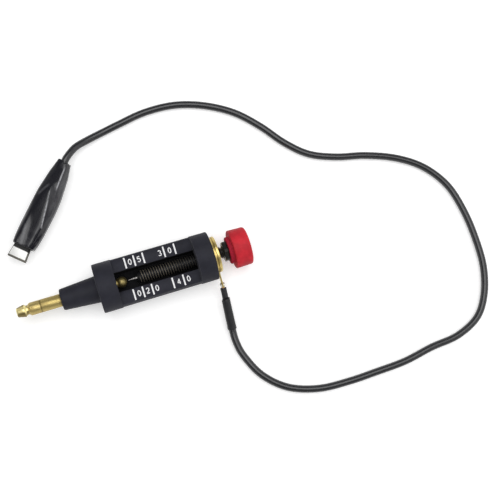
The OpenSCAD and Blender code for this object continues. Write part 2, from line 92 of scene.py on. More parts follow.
class Sock:
    """A shader socket whose Python operators add Math nodes."""

    __add__ = operator("ADD")
    __radd__ = operator("ADD", reflected=True)
    __sub__ = operator("SUBTRACT")
    __rsub__ = operator("SUBTRACT", reflected=True)
    __mul__ = operator("MULTIPLY")
    __rmul__ = operator("MULTIPLY", reflected=True)
    __truediv__ = operator("DIVIDE")
    __pow__ = operator("POWER")
    __abs__ = operator("ABSOLUTE")
    most = operator("MAXIMUM")
    sine = operator("SINE")

    def __init__(self, graph: "Graph", socket: bpy.types.NodeSocket) -> None:
        """Keeps the graph and the output socket."""
        self.graph = graph
        self.socket = socket

    def swing(self, reach: float) -> "Sock":
        """A value from 0 to 1 as a swing about zero."""
        return reach * (self - 0.5)

    def span(self, base: float, reach: float) -> "Sock":
        """A value from 0 to 1 as a rise from a base."""
        return base + reach * self

    def over(self, low: float, high: float) -> "Sock":
        """Smooth step from 0 at low to 1 at high."""
        values = {0: self, 1: low, 2: high, 3: 0.0, 4: 1.0}
        return self.graph.node("ShaderNodeMapRange", {"interpolation_type": "SMOOTHSTEP"}, values)


class Graph:
    """The node tree of a material or world, with short ways to add what the finishes need."""

    def __init__(self, owner: bpy.types.Material | bpy.types.World) -> None:
        """Empties the owner's tree.

        Args:
            owner: the material or world that takes the nodes.
        """
        owner.use_nodes = True
        self.owner = owner
        self.tree = owner.node_tree
        self.tree.nodes.clear()

    def node(
        self,
        kind: str,
        settings: dict[str, Any] | None = None,
        inputs: dict[int | str, Any] | None = None,
        output: int | str = 0,
    ) -> Sock:
        """Adds any node.

        Args:
            kind: the node's type name.
            settings: its properties, which are set first.
            inputs: a number, colour, vector or Sock for each socket, by index or name.
            output: which of its outputs to return.

        Returns:
            The chosen output.
        """
        made = self.tree.nodes.new(kind)
        for key, value in (settings or {}).items():
            setattr(made, key, value)
        for key, value in (inputs or {}).items():
            if isinstance(value, Sock):
                self.tree.links.new(value.socket, made.inputs[key])
            else:
                made.inputs[key].default_value = value
        return Sock(self, made.outputs[output])

    def vector(self, operation: str, first: Sock, second: Point, output: int | str = 0) -> Sock:
        """Adds one Vector Math node and returns its vector, or its number for the output Value."""
        values = {0: first, 1: tuple(second)}
        return self.node("ShaderNodeVectorMath", {"operation": operation}, values, output)

    def place(self) -> Sock:
        """Place on the object in metres, in the frame of the part."""
        return self.node("ShaderNodeTexCoord", output="Object")

    def split(self, vector: Sock) -> tuple[Sock, Sock, Sock]:
        """The three parts of a vector."""
        return tuple(self.node("ShaderNodeSeparateXYZ", None, {0: vector}, k) for k in range(3))

    def turned(self) -> tuple[Sock, Sock]:
        """The place along the X axis and the distance from that axis, in metres."""
        x, y, z = self.split(self.place())
        return x, (y * y + z * z) ** 0.5

    def toward(self, origin_mm: Point, axis: Point) -> Sock:
        """Distance of the place from a point along an axis, in metres."""
        away = self.vector("SUBTRACT", self.place(), metres(origin_mm))
        return self.vector("DOT_PRODUCT", away, axis, "Value")

    def facing(self, way: Point) -> Sock:
        """How squarely the surface faces a direction, from -1 to 1."""
        normal = self.node("ShaderNodeNewGeometry", output="Normal")
        return self.vector("DOT_PRODUCT", normal, way, "Value")

    def line_at(self, x_mm: float, half_mm: float) -> Sock:
        """A soft line round the X axis: 1 at that place along it, 0 beyond the half width."""
        away = abs(self.split(self.place())[0] - x_mm * MM)
        return 1.0 - away.over(LINE_CORE * half_mm * MM, half_mm * MM)

    def mixed(self, factor: Sock | float, first: Any, second: Any) -> Sock:
        """Colour between two colours, a tuple or a Sock each, by the Mix node's colour sockets."""
        a, b = ((*c, 1.0) if isinstance(c, tuple) else c for c in (first, second))
        return self.node("ShaderNodeMix", {"data_type": "RGBA"}, {0: factor, 6: a, 7: b}, 2)

    def bump(
        self, height: Sock, depth_mm: float, strength: float, under: Sock | None = None
    ) -> Sock:
        """Normal of a surface raised by a height times the depth, over another bump if given."""
        inputs = {"Strength": strength, "Distance": depth_mm * MM, "Height": height}
        return self.node("ShaderNodeBump", None, inputs | ({"Normal": under} if under else {}))

    def seen(self) -> Sock:
        """1 for rays from the camera, a glossy or a clear surface, which see a white background."""
        camera, gloss, clear = (
            self.node("ShaderNodeLightPath", output=f"Is {kind} Ray")
            for kind in ("Camera", "Glossy", "Transmission")
        )
        return camera.most(gloss).most(clear)

    def principled(self, **sockets: Any) -> bpy.types.Material:
        """Ends the tree with a Principled surface; its sockets have underscores for spaces."""
        inputs = {name.replace("_", " "): value for name, value in sockets.items()}
        return self.ended(self.node("ShaderNodeBsdfPrincipled", None, inputs))

    def ended(self, surface: Sock) -> bpy.types.Material | bpy.types.World:
        """Links a surface to the owner's output.

        Args:
            surface: the shader to show.

        Returns:
            The owner.
        """
        kind = "World" if isinstance(self.owner, bpy.types.World) else "Material"
        out = self.tree.nodes.new(f"ShaderNodeOutput{kind}")
        self.tree.links.new(surface.socket, out.inputs["Surface"])
        return self.owner


def metres(lengths_mm: Iterable[float]) -> tuple[float, ...]:
    """Lengths in millimetres as metres."""
    return tuple(length * MM for length in lengths_mm)


@dataclass(frozen=True)
class ClipFrame:
    """The clip's own frame: u runs to its tip from the boot's mouth, v to the left and z up."""

    mouth_mm: Point = (-11.0014, 31.2907, -5.25)
    yaw_deg: float = -131.0

    def along(self) -> Triple:
        """Direction of u in the frame of the part."""
        yaw = math.radians(self.yaw_deg)
        return math.cos(yaw), math.sin(yaw), 0.0

    def across(self) -> Triple:
        """Direction of v in the frame of the part."""
        c, s, _ = self.along()
        return -s, c, 0.0

    def at(self, point: Point) -> Vector:
        """Carries a point over to the frame of the part.

        Args:
            point: its u, v and z in millimetres.

        Returns:
            The point in metres.
        """
        u, v, z = point
        c, s, _ = self.along()
        x0, y0, z0 = self.mouth_mm
        return Vector((x0 + u * c - v * s, y0 + u * s + v * c, z0 + z)) * MM

    def plan(self, graph: Graph) -> tuple[Sock, Sock]:
        """The u and v of the place in millimetres, as shader values."""
        ways = (self.along(), self.across())
        return tuple(graph.toward(self.mouth_mm, way) / MM for way in ways)


CLIP = ClipFrame()


@dataclass(frozen=True)
class Grain:
    """A noise over a surface: size of its features, finer layers, smooth step and stretch."""

    size_mm: float
    detail: float
    step: tuple[float, ...] = ()
    flow: tuple[float, ...] = ()

    def on(self, graph: Graph) -> Sock:
        """Adds the noise, from 0 to 1.

        Args:
            graph: the nodes that it joins.

        Returns:
            Its value, after the step if it has one.
        """
        place = graph.place()
        if self.flow:
            place = graph.vector("MULTIPLY", place, self.flow)
        inputs = {"Vector": place, "Scale": 1.0 / (self.size_mm * MM), "Detail": self.detail}
        value = graph.node("ShaderNodeTexNoise", None, inputs)
        return value.over(*self.step) if self.step else value


SCRATCHES = Grain(0.12, 3.0, flow=(1.0, 1.0, 0.15))
SCRATCH_RELIEF = (0.003, 0.4)


@dataclass(frozen=True)
class PaintedShade:
    """A painted shade over a stretch of a piece: its dark colour and its box in millimetres, which
    is open below.
    """

    colour: Colour
    start: float
    end: float
    half: float
    top: float
    fade: float = 0.3

    def mask(self, graph: Graph) -> Sock:
        """Marks where the shade is painted.

        Args:
            graph: the material's nodes.

        Returns:
            1 inside the box, fading to 0 at its edges.
        """
        x, y, z = (axis / MM for axis in graph.split(graph.place()))
        fade = self.fade
        ends = x.over(self.start, self.start + fade) * (1.0 - x.over(self.end - fade, self.end))
        sides = 1.0 - abs(y).over(self.half - fade, self.half)
        return ends * sides * (1.0 - z.over(self.top - fade, self.top))


@dataclass(frozen=True)
class Finish:
    """A surface finish: its name, the record's slot and its main colour.

    In each kind a share is how far a mask mixes in its colour, "rough" is what it adds to the
    roughness, and a relief is the depth in millimetres and the strength of a bump.
    """

    name: str
    slot: str
    colour: Colour

    def material(self) -> bpy.types.Material:
        """The finish as a material, made at its first use."""
        made = bpy.data.materials.get(self.name)
        return made or self.shade(Graph(bpy.data.materials.new(self.name)))

    def shade(self, graph: Graph) -> bpy.types.Material:
        """Builds the nodes; each kind of finish has its own."""
        raise NotImplementedError


@dataclass(frozen=True)
class MouldedPlastic(Finish):
    """Satin moulded plastic: clouds, pale handling marks, painted highlight lines on rims and
    painted shade in a box.
    """

    roughness: float
    specular: float
    grain: Grain
    marks: float
    pale: Colour
    painted_shade: PaintedShade
    painted_rim_highlights_mm: tuple[float, ...] = ()
    rim_half_mm: float = 0.3
    rim_share: Pair = (0.1, 0.35)
    painted_shade_share: Pair = (0.8, 0.2)
    painted_shade_rough: float = 0.25
    clouds: Grain = Grain(5.0, 3.0)
    cloud_step: Pair = (0.35, 0.7)
    cloud_rough: float = 0.14
    shadow: float = 0.78
    rubs_and_highlights: Grain = Grain(1.1, 5.0, (0.6, 0.78), (0.35, 1.0, 1.0))
    rub_rough: float = 0.1
    grain_rough: float = 0.1
    relief: Pair = (0.012, 0.5)

    def shade(self, graph: Graph) -> bpy.types.Material:
        """Grain in the bump, clouds in colour and roughness, then marks, painted rim highlights and
        painted shade.

        Args:
            graph: the material's nodes.

        Returns:
            The finished material.
        """
        clouds, grain, marks_and_painted_light = (g.on(graph) for g in (self.clouds, self.grain, self.rubs_and_highlights))
        base = graph.mixed(marks_and_painted_light * self.marks, self.colour, self.pale)
        shadow = tuple(c * self.shadow for c in self.colour)
        tint = graph.mixed(clouds.over(*self.cloud_step), shadow, base)
        # painted highlight: pale lines round the rims
        for rim in self.painted_rim_highlights_mm:
            line = graph.line_at(rim, self.rim_half_mm) * clouds.span(*self.rim_share)
            tint = graph.mixed(line, tint, self.pale)
        # painted shade: inside the box the colour goes dark
        painted_dark = self.painted_shade.mask(graph) * clouds.span(*self.painted_shade_share)
        rough = self.roughness + clouds.swing(self.cloud_rough) + grain.swing(self.grain_rough)
        return graph.principled(
            Base_Color=graph.mixed(painted_dark, tint, self.painted_shade.colour),
            Roughness=rough + self.rub_rough * marks_and_painted_light + self.painted_shade_rough * painted_dark,
            Specular_IOR_Level=self.specular,
            Normal=graph.bump(grain, *self.relief),
        )


@dataclass(frozen=True)
class TurnedMetal(Finish):
    """Metal from a lathe: fine rings round the X axis, a patina, dull patches and specks.

    Joints are darkened, the colour darkens from one place along the axis on, and one end gets a
    painted highlight band with painted shade on two sides.
    """

    roughness: float
    patina: Colour = (0.36, 0.25, 0.09)
    ring_mm: float = 0.16
    ring_tint: float = 0.1
    ring_rough: float = 0.04
    ring_height: float = 0.5
    relief: Pair = (0.0015, 0.3)
    wander: Grain = Grain(1.5, 2.0)
    wander_mm: float = 0.25
    patch: Grain = Grain(2.6, 4.0, (0.48, 0.8))
    patches: float = 0.4
    patch_rough: float = 0.14
    speck: Grain = Grain(0.55, 2.0, (0.45, 0.7))
    specks: float = 0.15
    fine: Grain = Grain(0.35, 3.0)
    fine_rough: float = 0.06
    joints_mm: tuple[float, ...] = ()
    joint_half_mm: float = 0.5
    joint_share: Pair = (0.35, 0.6)
    grime_and_shade: Colour = (0.05, 0.035, 0.012)
    darker_end_mm: tuple[float, ...] = ()
    darker_end: Colour = (0.2, 0.17, 0.08)
    darker_end_share: Pair = (0.45, 0.3)
    painted_light_mm: tuple[float, ...] = ()
    polish: float = 0.06
    painted_highlight: Colour = (0.95, 0.83, 0.4)
    patch_hold: float = 0.5
    side_shade_share: float = 0.65
    near_side: Point = (0.0, -0.86, 0.51)
    near_step: Pair = (0.6, 0.88)
    far_side: Point = (0.0, 0.95, 0.31)
    far_step: Pair = (0.72, 0.96)

    def shade(self, graph: Graph) -> bpy.types.Material:
        """Rings follow the axial place and the radius, so that faces and barrels both show them.

        Args:
            graph: the material's nodes.

        Returns:
            The finished material.
        """
        x, radius = graph.turned()
        wander = self.wander.on(graph) * (self.wander_mm * MM)
        rings = ((x + radius + wander) * (math.tau / (self.ring_mm * MM))).sine()
        patch, speck, fine = (g.on(graph) for g in (self.patch, self.speck, self.fine))
        tint = graph.mixed(patch * self.patches, self.colour, self.patina)
        tint = graph.mixed(rings.over(-1.0, 1.0) * self.ring_tint, tint, self.patina)
        tint = graph.mixed(speck * self.specks, tint, self.patina)
        # from one place along the axis on, the colour goes to a darker tone
        if self.darker_end_mm:
            darkened_end = x.over(*metres(self.darker_end_mm)) * fine.span(*self.darker_end_share)
            tint = graph.mixed(darkened_end, tint, self.darker_end)
        for joint in self.joints_mm:
            line = graph.line_at(joint, self.joint_half_mm) * patch.span(*self.joint_share)
            tint = graph.mixed(line, tint, self.grime_and_shade)
        rough = self.roughness + self.patch_rough * patch + fine.swing(self.fine_rough)
        rough = rough + self.ring_rough * rings
        # painted light on the head: a lit band, with painted shade on the sides that face near and
        # far
        if self.painted_light_mm:
            head = x.over(*metres(self.painted_light_mm))
            near = graph.facing(self.near_side).over(*self.near_step)
            side_shade = near.most(graph.facing(self.far_side).over(*self.far_step))
            lit_band = head * (1.0 - self.patch_hold * patch) * (1.0 - side_shade)
            tint = graph.mixed(lit_band, tint, self.painted_highlight)
            tint = graph.mixed(head * side_shade * self.side_shade_share, tint, self.grime_and_shade)
            rough = rough - self.polish * head
        normal = graph.bump(rings * self.ring_height + fine, *self.relief)
        return graph.principled(Base_Color=tint, Metallic=1.0, Roughness=rough, Normal=normal)


@dataclass(frozen=True)
class BlackOxide(Finish):
    """Blackened steel with pale crests, partly from use and partly a painted highlight."""

    crest_mm: float
    wear_and_highlight: Colour
    roughness: float
    metallic: float
    shade_fade_mm: Pair
    crest_reach_mm: Pair = (-0.16, 0.02)
    grain: Grain = Grain(0.4, 4.0)
    grain_step: Pair = (0.2, 0.6)
    grain_rough: float = 0.16
    shade_fade_share: Pair = (0.12, 0.5)
    wear_rough: float = 0.06
    relief: Pair = (0.006, 0.4)

    def shade(self, graph: Graph) -> bpy.types.Material:
        """The pale crests grow with the distance from the axis and fade along it as a painted
        shade, broken up by grain.

        Args:
            graph: the material's nodes.

        Returns:
            The finished material.
        """
        x, radius = graph.turned()
        grain = self.grain.on(graph)
        crest = metres(self.crest_mm + reach for reach in self.crest_reach_mm)
        crest_wear_and_light = radius.over(*crest) * grain.over(*self.grain_step)
        # painted shade: the pale crests fade out along the axis towards one end
        crest_wear_and_light = crest_wear_and_light * x.over(*metres(self.shade_fade_mm)).span(*self.shade_fade_share)
        return graph.principled(
            Base_Color=graph.mixed(crest_wear_and_light, self.colour, self.wear_and_highlight),
            Metallic=self.metallic,
            Roughness=self.roughness + grain.swing(self.grain_rough) - self.wear_rough * crest_wear_and_light,
            Normal=graph.bump(grain, *self.relief),
        )


@dataclass(frozen=True)
class SheetSteel(Finish):
    """Plated sheet or drawn wire: bright metal with fine scratches and smudges."""

    smudge: Colour = (0.45, 0.45, 0.46)
    roughness: float = 0.2
    scratches: Grain = SCRATCHES
    scratch_rough: float = 0.14
    relief: Pair = SCRATCH_RELIEF
    smudges: Grain = Grain(2.2, 4.0, (0.52, 0.75))
    smudge_share: float = 0.55
    smudge_rough: float = 0.18

    def shade(self, graph: Graph) -> bpy.types.Material:
        """Scratches in bump and roughness, smudges in colour and roughness.

        Args:
            graph: the material's nodes.

        Returns:
            The finished material.
        """
        lines, smudges = self.scratches.on(graph), self.smudges.on(graph)
        rough = self.roughness + lines.swing(self.scratch_rough) + self.smudge_rough * smudges
        return graph.principled(
            Base_Color=graph.mixed(smudges * self.smudge_share, self.colour, self.smudge),
            Metallic=1.0,
            Roughness=rough,
            Normal=graph.bump(lines, *self.relief),
        )


@dataclass(frozen=True)
class PlatedJaw(Finish):
    """Bright plated sheet of the jaws: painted shade on the lip, dark cut edges, painted shadow
    next to the boot's mouth.
    """

    lip_shade_and_edges: Colour = (0.055, 0.046, 0.024)
    lip_shade_share: float = 0.9
    lip_shade_rough: float = 0.1
    painted_mouth_shadow: Colour = (0.003, 0.003, 0.004)
    mouth_shadow_share: float = 0.96
    mouth_shadow_rough: float = 0.45
    mouth_shadow_step_mm: Pair = (1.7, 1.95)
    mouth_shadow_slant: float = 0.03
    roughness: float = 0.5
    metallic: float = 0.3
    specular: float = 0.3
    tip_mm: float = 6.9
    half_mm: Pair = (3.9, 4.6)
    lip_mm: float = 0.95
    lip_fade_mm: float = 0.2
    edge_mm: float = 0.34
    edge_fade_mm: float = 0.16
    edge_start_mm: Pair = (-0.6, 0.2)
    edge_wander: float = 0.5
    grain: Grain = Grain(0.5, 4.0)
    wander_mm: float = 0.25
    scratch_rough: float = 0.12

    def shade(self, graph: Graph) -> bpy.types.Material:
        """The darker tone follows the lip and the two long edges; scratches run along the jaw.

        Args:
            graph: the material's nodes.

        Returns:
            The finished material.
        """
        u, v = CLIP.plan(graph)
        wander = self.grain.on(graph).swing(self.wander_mm)
        lip_start = self.tip_mm - self.lip_mm
        lip = (u + wander).over(lip_start, lip_start + self.lip_fade_mm)
        half = self.half_mm[0] + (self.half_mm[1] - self.half_mm[0]) / self.tip_mm * u
        edge = abs(v) - half + wander * self.edge_wander
        edge = edge.over(-self.edge_mm, self.edge_fade_mm - self.edge_mm)
        # painted shade on the turned-down lip, and a thin darker band along the long edges
        dull = lip.most(edge * u.over(*self.edge_start_mm))
        # painted shadow: near black on the plate next to the boot's mouth
        marks_and_painted_light = 1.0 - (u - self.mouth_shadow_slant * v + wander).over(*self.mouth_shadow_step_mm)
        lines = SCRATCHES.on(graph)
        tint = graph.mixed(dull * self.lip_shade_share, self.colour, self.lip_shade_and_edges)
        rough = self.roughness + lines.swing(self.scratch_rough) + self.lip_shade_rough * dull
        return graph.principled(
            Base_Color=graph.mixed(marks_and_painted_light * self.mouth_shadow_share, tint, self.painted_mouth_shadow),
            Metallic=self.metallic * (1.0 - marks_and_painted_light),
            Roughness=rough + self.mouth_shadow_rough * marks_and_painted_light,
            Specular_IOR_Level=self.specular,
            Normal=graph.bump(lines, *SCRATCH_RELIEF),
        )


@dataclass(frozen=True)
class SoftBlack(Finish):
    """Black rubber or vinyl skin: slow ripples, fine pores and a dusty bloom."""

    bloom: Colour
    dust: float
    roughness: float
    specular: float
    ripple: Grain
    ripple_relief: Pair
    dusting: Grain = Grain(3.5, 5.0, (0.5, 0.8))
    dust_rough: float = 0.14
    pores: Grain = Grain(0.2, 3.0)
    pore_rough: float = 0.08
    pore_relief: Pair = (0.006, 0.35)

    def shade(self, graph: Graph) -> bpy.types.Material:
        """Ripples and pores in the bump, bloom in colour and roughness.

        Args:
            graph: the material's nodes.

        Returns:
            The finished material.
        """
        ripple, pores, bloom = (g.on(graph) for g in (self.ripple, self.pores, self.dusting))
        wave = graph.bump(ripple, *self.ripple_relief)
        return graph.principled(
            Base_Color=self.wear_and_highlight(graph, graph.mixed(bloom * self.dust, self.colour, self.bloom)),
            Roughness=self.roughness + self.dust_rough * bloom + pores.swing(self.pore_rough),
            Specular_IOR_Level=self.specular,
            Normal=graph.bump(pores, *self.pore_relief, wave),
            **self.coat(graph, bloom),
        )

    def wear_and_highlight(self, graph: Graph, tint: Sock) -> Sock:
        """The colour with painted highlights added: here none."""
        return tint

    def coat(self, graph: Graph, bloom: Sock) -> dict[str, Any]:
        """The sockets of a glossy coat: here none."""
        return {}


@dataclass(frozen=True)
class HighlightLine:
    """A painted highlight line on the boot in the clip's frame, in millimetres."""

    first: Pair
    last: Pair
    half: float
    share: float
    core: float = 0.1
    rise: Pair = (0.0, 0.25)
    fall: Pair = (0.8, 1.0)

    def mask(self, u: Sock, v: Sock) -> Sock:
        """How much of the painted highlight: full on the line, nothing beyond its half width and
        its ends.

        Args:
            u: place along the clip in millimetres.
            v: place across it.

        Returns:
            The mask from 0 to the line's share.
        """
        du, dv = self.last[0] - self.first[0], self.last[1] - self.first[1]
        length = math.hypot(du, dv)
        along = ((u - self.first[0]) * du + (v - self.first[1]) * dv) / length**2
        away = ((v - self.first[1]) * du - (u - self.first[0]) * dv) / length
        line = 1.0 - abs(away).over(self.core * self.half, self.half)
        return self.share * line * along.over(*self.rise) * (1.0 - along.over(*self.fall))


@dataclass(frozen=True)
class FoldedVinyl(SoftBlack):
    """Soft glossy vinyl: painted highlight lines along its fold crests; its flanks are dulled by
    handling.
    """

    marks_and_painted_light: Colour = (0.34, 0.34, 0.36)
    broken: Grain = Grain(0.8, 2.0, (0.1, 0.55))
    upper_mm: Pair = (0.0, 2.0)
    coat_ior: float = 1.5
    dulling: float = 0.88
    dust_dulling: float = 0.3
    back_mm: Pair = (-14.0, -24.0)
    far_step: Pair = (0.25, 0.7)
    near_step: Pair = (-0.8, -1.0)
    # painted highlights: pale lines along the fold crests stand in for reflections
    rubs_and_highlights: tuple[HighlightLine, ...] = (
        HighlightLine((-45.0, 2.1), (-30.5, 3.7), 0.5, 1.0),
        HighlightLine((-30.5, 1.0), (-23.0, 2.8), 0.55, 0.3),
        HighlightLine((-25.5, 2.3), (-11.0, 5.1), 0.5, 0.95),
        HighlightLine((-13.5, 4.6), (-11.0, 5.1), 0.7, 0.5),
        HighlightLine((-11.5, -2.7), (1.5, -0.6), 1.4, 0.2),
        HighlightLine((-33.5, -0.4), (-25.5, -3.9), 1.0, 0.16),
        HighlightLine((-43.0, 4.4), (-11.0, 6.6), 2.4, 0.1),
    )

    def wear_and_highlight(self, graph: Graph, tint: Sock) -> Sock:
        """Adds the painted highlight lines, on the upper side alone and broken up by grain.

        Args:
            graph: the material's nodes.
            tint: the colour before the painted highlights.

        Returns:
            The colour with the painted highlights.
        """
        u, v = CLIP.plan(graph)
        upper = graph.toward(CLIP.mouth_mm, (0.0, 0.0, 1.0)).over(*metres(self.upper_mm))
        broken = upper * self.broken.on(graph)
        for highlight in self.rubs_and_highlights:
            tint = graph.mixed(highlight.mask(u, v) * broken, tint, self.marks_and_painted_light)
        return tint

    def coat(self, graph: Graph, bloom: Sock) -> dict[str, Any]:
        """The gloss, which is worn dull on the flanks, where fingers hold the boot.

        Args:
            graph: the material's nodes.
            bloom: where dust lies on the skin.

        Returns:
            The values of the coat's sockets.
        """
        back = CLIP.plan(graph)[0].over(*self.back_mm)
        side = graph.facing([-way for way in CLIP.across()])
        dull = (side.over(*self.far_step) * back).most(side.over(*self.near_step))
        return {
            "Coat_Weight": (1.0 - self.dulling * dull) * (1.0 - self.dust_dulling * bloom),
            "Coat_Roughness": self.roughness,
            "Coat_IOR": self.coat_ior,
        }


@dataclass(frozen=True)
class PrintedInk(Finish):
    """Screen-printed ink with small thin spots."""

    thin: Colour = (0.5, 0.5, 0.5)
    roughness: float = 0.5
    spots: Grain = Grain(0.25, 3.0, (0.58, 0.75))
    spot_share: float = 0.4
    spot_rough: float = 0.2

    def shade(self, graph: Graph) -> bpy.types.Material:
        """Thin spots in colour and roughness.

        Args:
            graph: the material's nodes.

        Returns:
            The finished material.
        """
        spots = self.spots.on(graph)
        tint = graph.mixed(spots * self.spot_share, self.colour, self.thin)
        return graph.principled(Base_Color=tint, Roughness=self.roughness + self.spot_rough * spots)


BLACK_PLASTIC = MouldedPlastic(
    "black_plastic_satin", "black_plastic", (0.019, 0.0195, 0.029),
    roughness=0.62, specular=0.22, grain=Grain(0.22, 2.0), marks=0.1, pale=(0.11, 0.11, 0.12),
    # painted shade: the pocket under the scale face goes near black
    painted_shade=PaintedShade((0.003, 0.003, 0.0035), start=27.0, end=68.3, half=5.2, top=4.45),
    # painted highlight lines round the body at these rims
    painted_rim_highlights_mm=(18.1, 67.8),
)
RED_PLASTIC = MouldedPlastic(
    "red_plastic_satin", "red_plastic", (0.6, 0.023, 0.037),
    roughness=0.55, specular=0.16, grain=Grain(0.3, 2.0), marks=0.18, pale=(0.62, 0.1, 0.11),
    # painted shade: the hub behind the knob's rim goes darker
    painted_shade=PaintedShade((0.38, 0.013, 0.035), start=84.6, end=86.9, half=15.0, top=15.0),
)
BRASS = TurnedMetal("turned_brass", "brass", (0.66, 0.52, 0.2), roughness=0.32)
TERMINAL_BRASS = TurnedMetal(
    "terminal_brass", "brass", (0.53, 0.425, 0.175), roughness=0.46, specks=0.55,
    # the head gets a painted highlight band and painted shade on two sides
    joints_mm=(-9.95,), darker_end_mm=(26.0, 30.0), painted_light_mm=(-15.4, -17.2),
)
ROD_BRASS = replace(TERMINAL_BRASS, name="rod_brass", colour=(0.5, 0.4, 0.155))
NEEDLE_STEEL = TurnedMetal(
    "ground_steel", "steel", (0.4, 0.385, 0.37),
    roughness=0.5, patina=(0.26, 0.25, 0.24), ring_mm=0.1,
)
BLACK_STEEL = BlackOxide(
    "black_oxide", "black_steel", (0.016, 0.016, 0.018), crest_mm=3.1,
    # pale crests: partly from use, partly a painted highlight; they fade towards the knob as a
    # painted shade
    wear_and_highlight=(0.34, 0.3, 0.23), roughness=0.34, metallic=0.4, shade_fade_mm=(70.0, 48.0),
)
NUT_STEEL = BlackOxide(
    "black_oxide_nut", "black_steel", (0.022, 0.022, 0.021), crest_mm=5.2,
    wear_and_highlight=(0.12, 0.12, 0.11), roughness=0.24, metallic=0.6, shade_fade_mm=(80.0, 84.0),
)
NICKEL = PlatedJaw("nickel_sheet", "nickel_steel", (0.92, 0.92, 0.9))
RIVET_STEEL = SheetSteel("rivet_steel", "steel", (0.6, 0.6, 0.6))
SPRING_STEEL = SheetSteel("spring_wire", "steel", (0.5, 0.5, 0.52))
COPPER = SheetSteel(
    "bare_copper", "copper", (0.72, 0.38, 0.2), smudge=(0.4, 0.2, 0.12), roughness=0.3
)
SOLDER = SheetSteel(
    "solder_bead", "solder", (0.72, 0.7, 0.62),
    smudge=(0.5, 0.47, 0.4), roughness=0.36, scratches=Grain(0.12, 3.0),
)
HEAT_SHRINK = SoftBlack(
    "shrunk_sleeve_black", "heat_shrink", (0.009, 0.009, 0.011),
    bloom=(0.03, 0.03, 0.034), dust=0.3, roughness=0.42, specular=0.36,
    ripple=Grain(0.9, 1.0, flow=(1.0, 0.1, 0.4)), ripple_relief=(0.06, 0.7),
)
JACKET = SoftBlack(
    "satin_jacket_black", "lead_jacket", (0.008, 0.0085, 0.011),
    bloom=(0.02, 0.02, 0.024), dust=0.3, roughness=0.25, specular=0.6,
    ripple=Grain(3.0, 1.0), ripple_relief=(0.02, 0.7),
)
VINYL = FoldedVinyl(
    "glossy_vinyl_black", "boot_vinyl", (0.004, 0.004, 0.008),
    bloom=(0.014, 0.014, 0.02), dust=0.15, roughness=0.27, specular=0.05,
    ripple=Grain(3.4, 1.0), ripple_relief=(0.03, 0.7),
)
INK = PrintedInk("scale_ink", "black_plastic", (0.82, 0.82, 0.83))


def smooth_step(value: float, low: float, high: float) -> float:
    """Smooth step from 0 at low to 1 at high."""
    t = max(0.0, min(1.0, (value - low) / (high - low)))
    return t * t * (3.0 - 2.0 * t)


def through(a: Any, b: Any, c: Any, d: Any, t: float) -> Any:
    """A value between b and c on the smooth curve through four values in a row."""
    return b + 0.5 * t * (c - a + t * (2 * a - 5 * b + 4 * c - d + t * (3 * (b - c) + d - a)))


def row_at(table: Sequence[Point], place: float) -> list[float]:
    """Smoothly read row of a table whose first column rises; its ends hold beyond them.

    Args:
        table: rows of numbers, the first of each being its place.
        place: where to read.

    Returns:
        The other columns at that place.
    """
    last = len(table) - 1
    k = max(0, min(last - 1, sum(1 for row in table if row[0] <= place) - 1))
    t = max(0.0, min(1.0, (place - table[k][0]) / (table[k + 1][0] - table[k][0])))
    rows = [table[max(0, min(last, k + step))] for step in (-1, 0, 1, 2)]
    return [through(*(row[c] for row in rows), t) for c in range(1, len(table[0]))]


def new_object(name: str, data: bpy.types.ID) -> bpy.types.Object:
    """Puts a mesh, curve, camera or lamp into the scene.

    Args:
        name: the object's name.
        data: what it shows.

    Returns:
        The new object.
    """
    made = bpy.data.objects.new(name, data)
    bpy.context.scene.collection.objects.link(made)
    return made


def new_mesh(
    name: str, verts: Iterable[Point], faces: Iterable[Sequence[int]]
) -> bpy.types.Object:
    """Makes a smooth-shaded mesh object in the scene.

    Args:
        name: the piece's name.
        verts: points in metres.
        faces: indices of each face's corners.

    Returns:
        The new object.
    """
    mesh = bpy.data.meshes.new(name)
    mesh.from_pydata([tuple(v) for v in verts], [], [tuple(f) for f in faces])
    mesh.update()
    mesh.shade_smooth()
    return new_object(name, mesh)


def outward(piece: bpy.types.Object) -> bpy.types.Object:
    """Turns all the faces of a closed piece outward.

    Args:
        piece: the object.

    Returns:
        The same object.
    """
    edit = bmesh.new()
    edit.from_mesh(piece.data)
    bmesh.ops.recalc_face_normals(edit, faces=edit.faces)
    edit.to_mesh(piece.data)
    edit.free()
    return piece


def band_faces(rings: int, sides: int, closed: bool = False) -> list[tuple[int, ...]]:
    """Quads between neighbouring rings of points.

    Args:
        rings: number of rings.
        sides: points in each ring.
        closed: whether the last ring joins the first.

    Returns:
        The corner indices of each quad.
    """

    def at(i: int, j: int) -> int:
        """Index of a point."""
        return i % rings * sides + j % sides

    return [
        (at(i, j), at(i, j + 1), at(i + 1, j + 1), at(i + 1, j))
        for i in range(rings if closed else rings - 1)
        for j in range(sides)
    ]


def tube_along(name: str, path: Sequence[Vector], radius: float, sides: int) -> bpy.types.Object:
    """A round closed tube along a path.

    Args:
        name: the piece's name.
        path: points of its centre line in metres.
        radius: its radius in metres.
        sides: points round it.

    Returns:
        The new object.
    """
    verts: list[Vector] = []
    across = Vector((0.0, 0.0, 1.0))
    for i, here in enumerate(path):
        ahead = (path[min(len(path) - 1, i + 1)] - path[max(0, i - 1)]).normalized()
        across = (across - ahead * across.dot(ahead)).normalized()
        beside = ahead.cross(across)
        for j in range(sides):
            turn = math.tau * j / sides
            verts.append(here + radius * (math.cos(turn) * across + math.sin(turn) * beside))
    faces = band_faces(len(path), sides)
    faces.append(tuple(range(sides)))
    faces.append(tuple(range((len(path) - 1) * sides, len(path) * sides)))
    return outward(new_mesh(name, verts, faces))


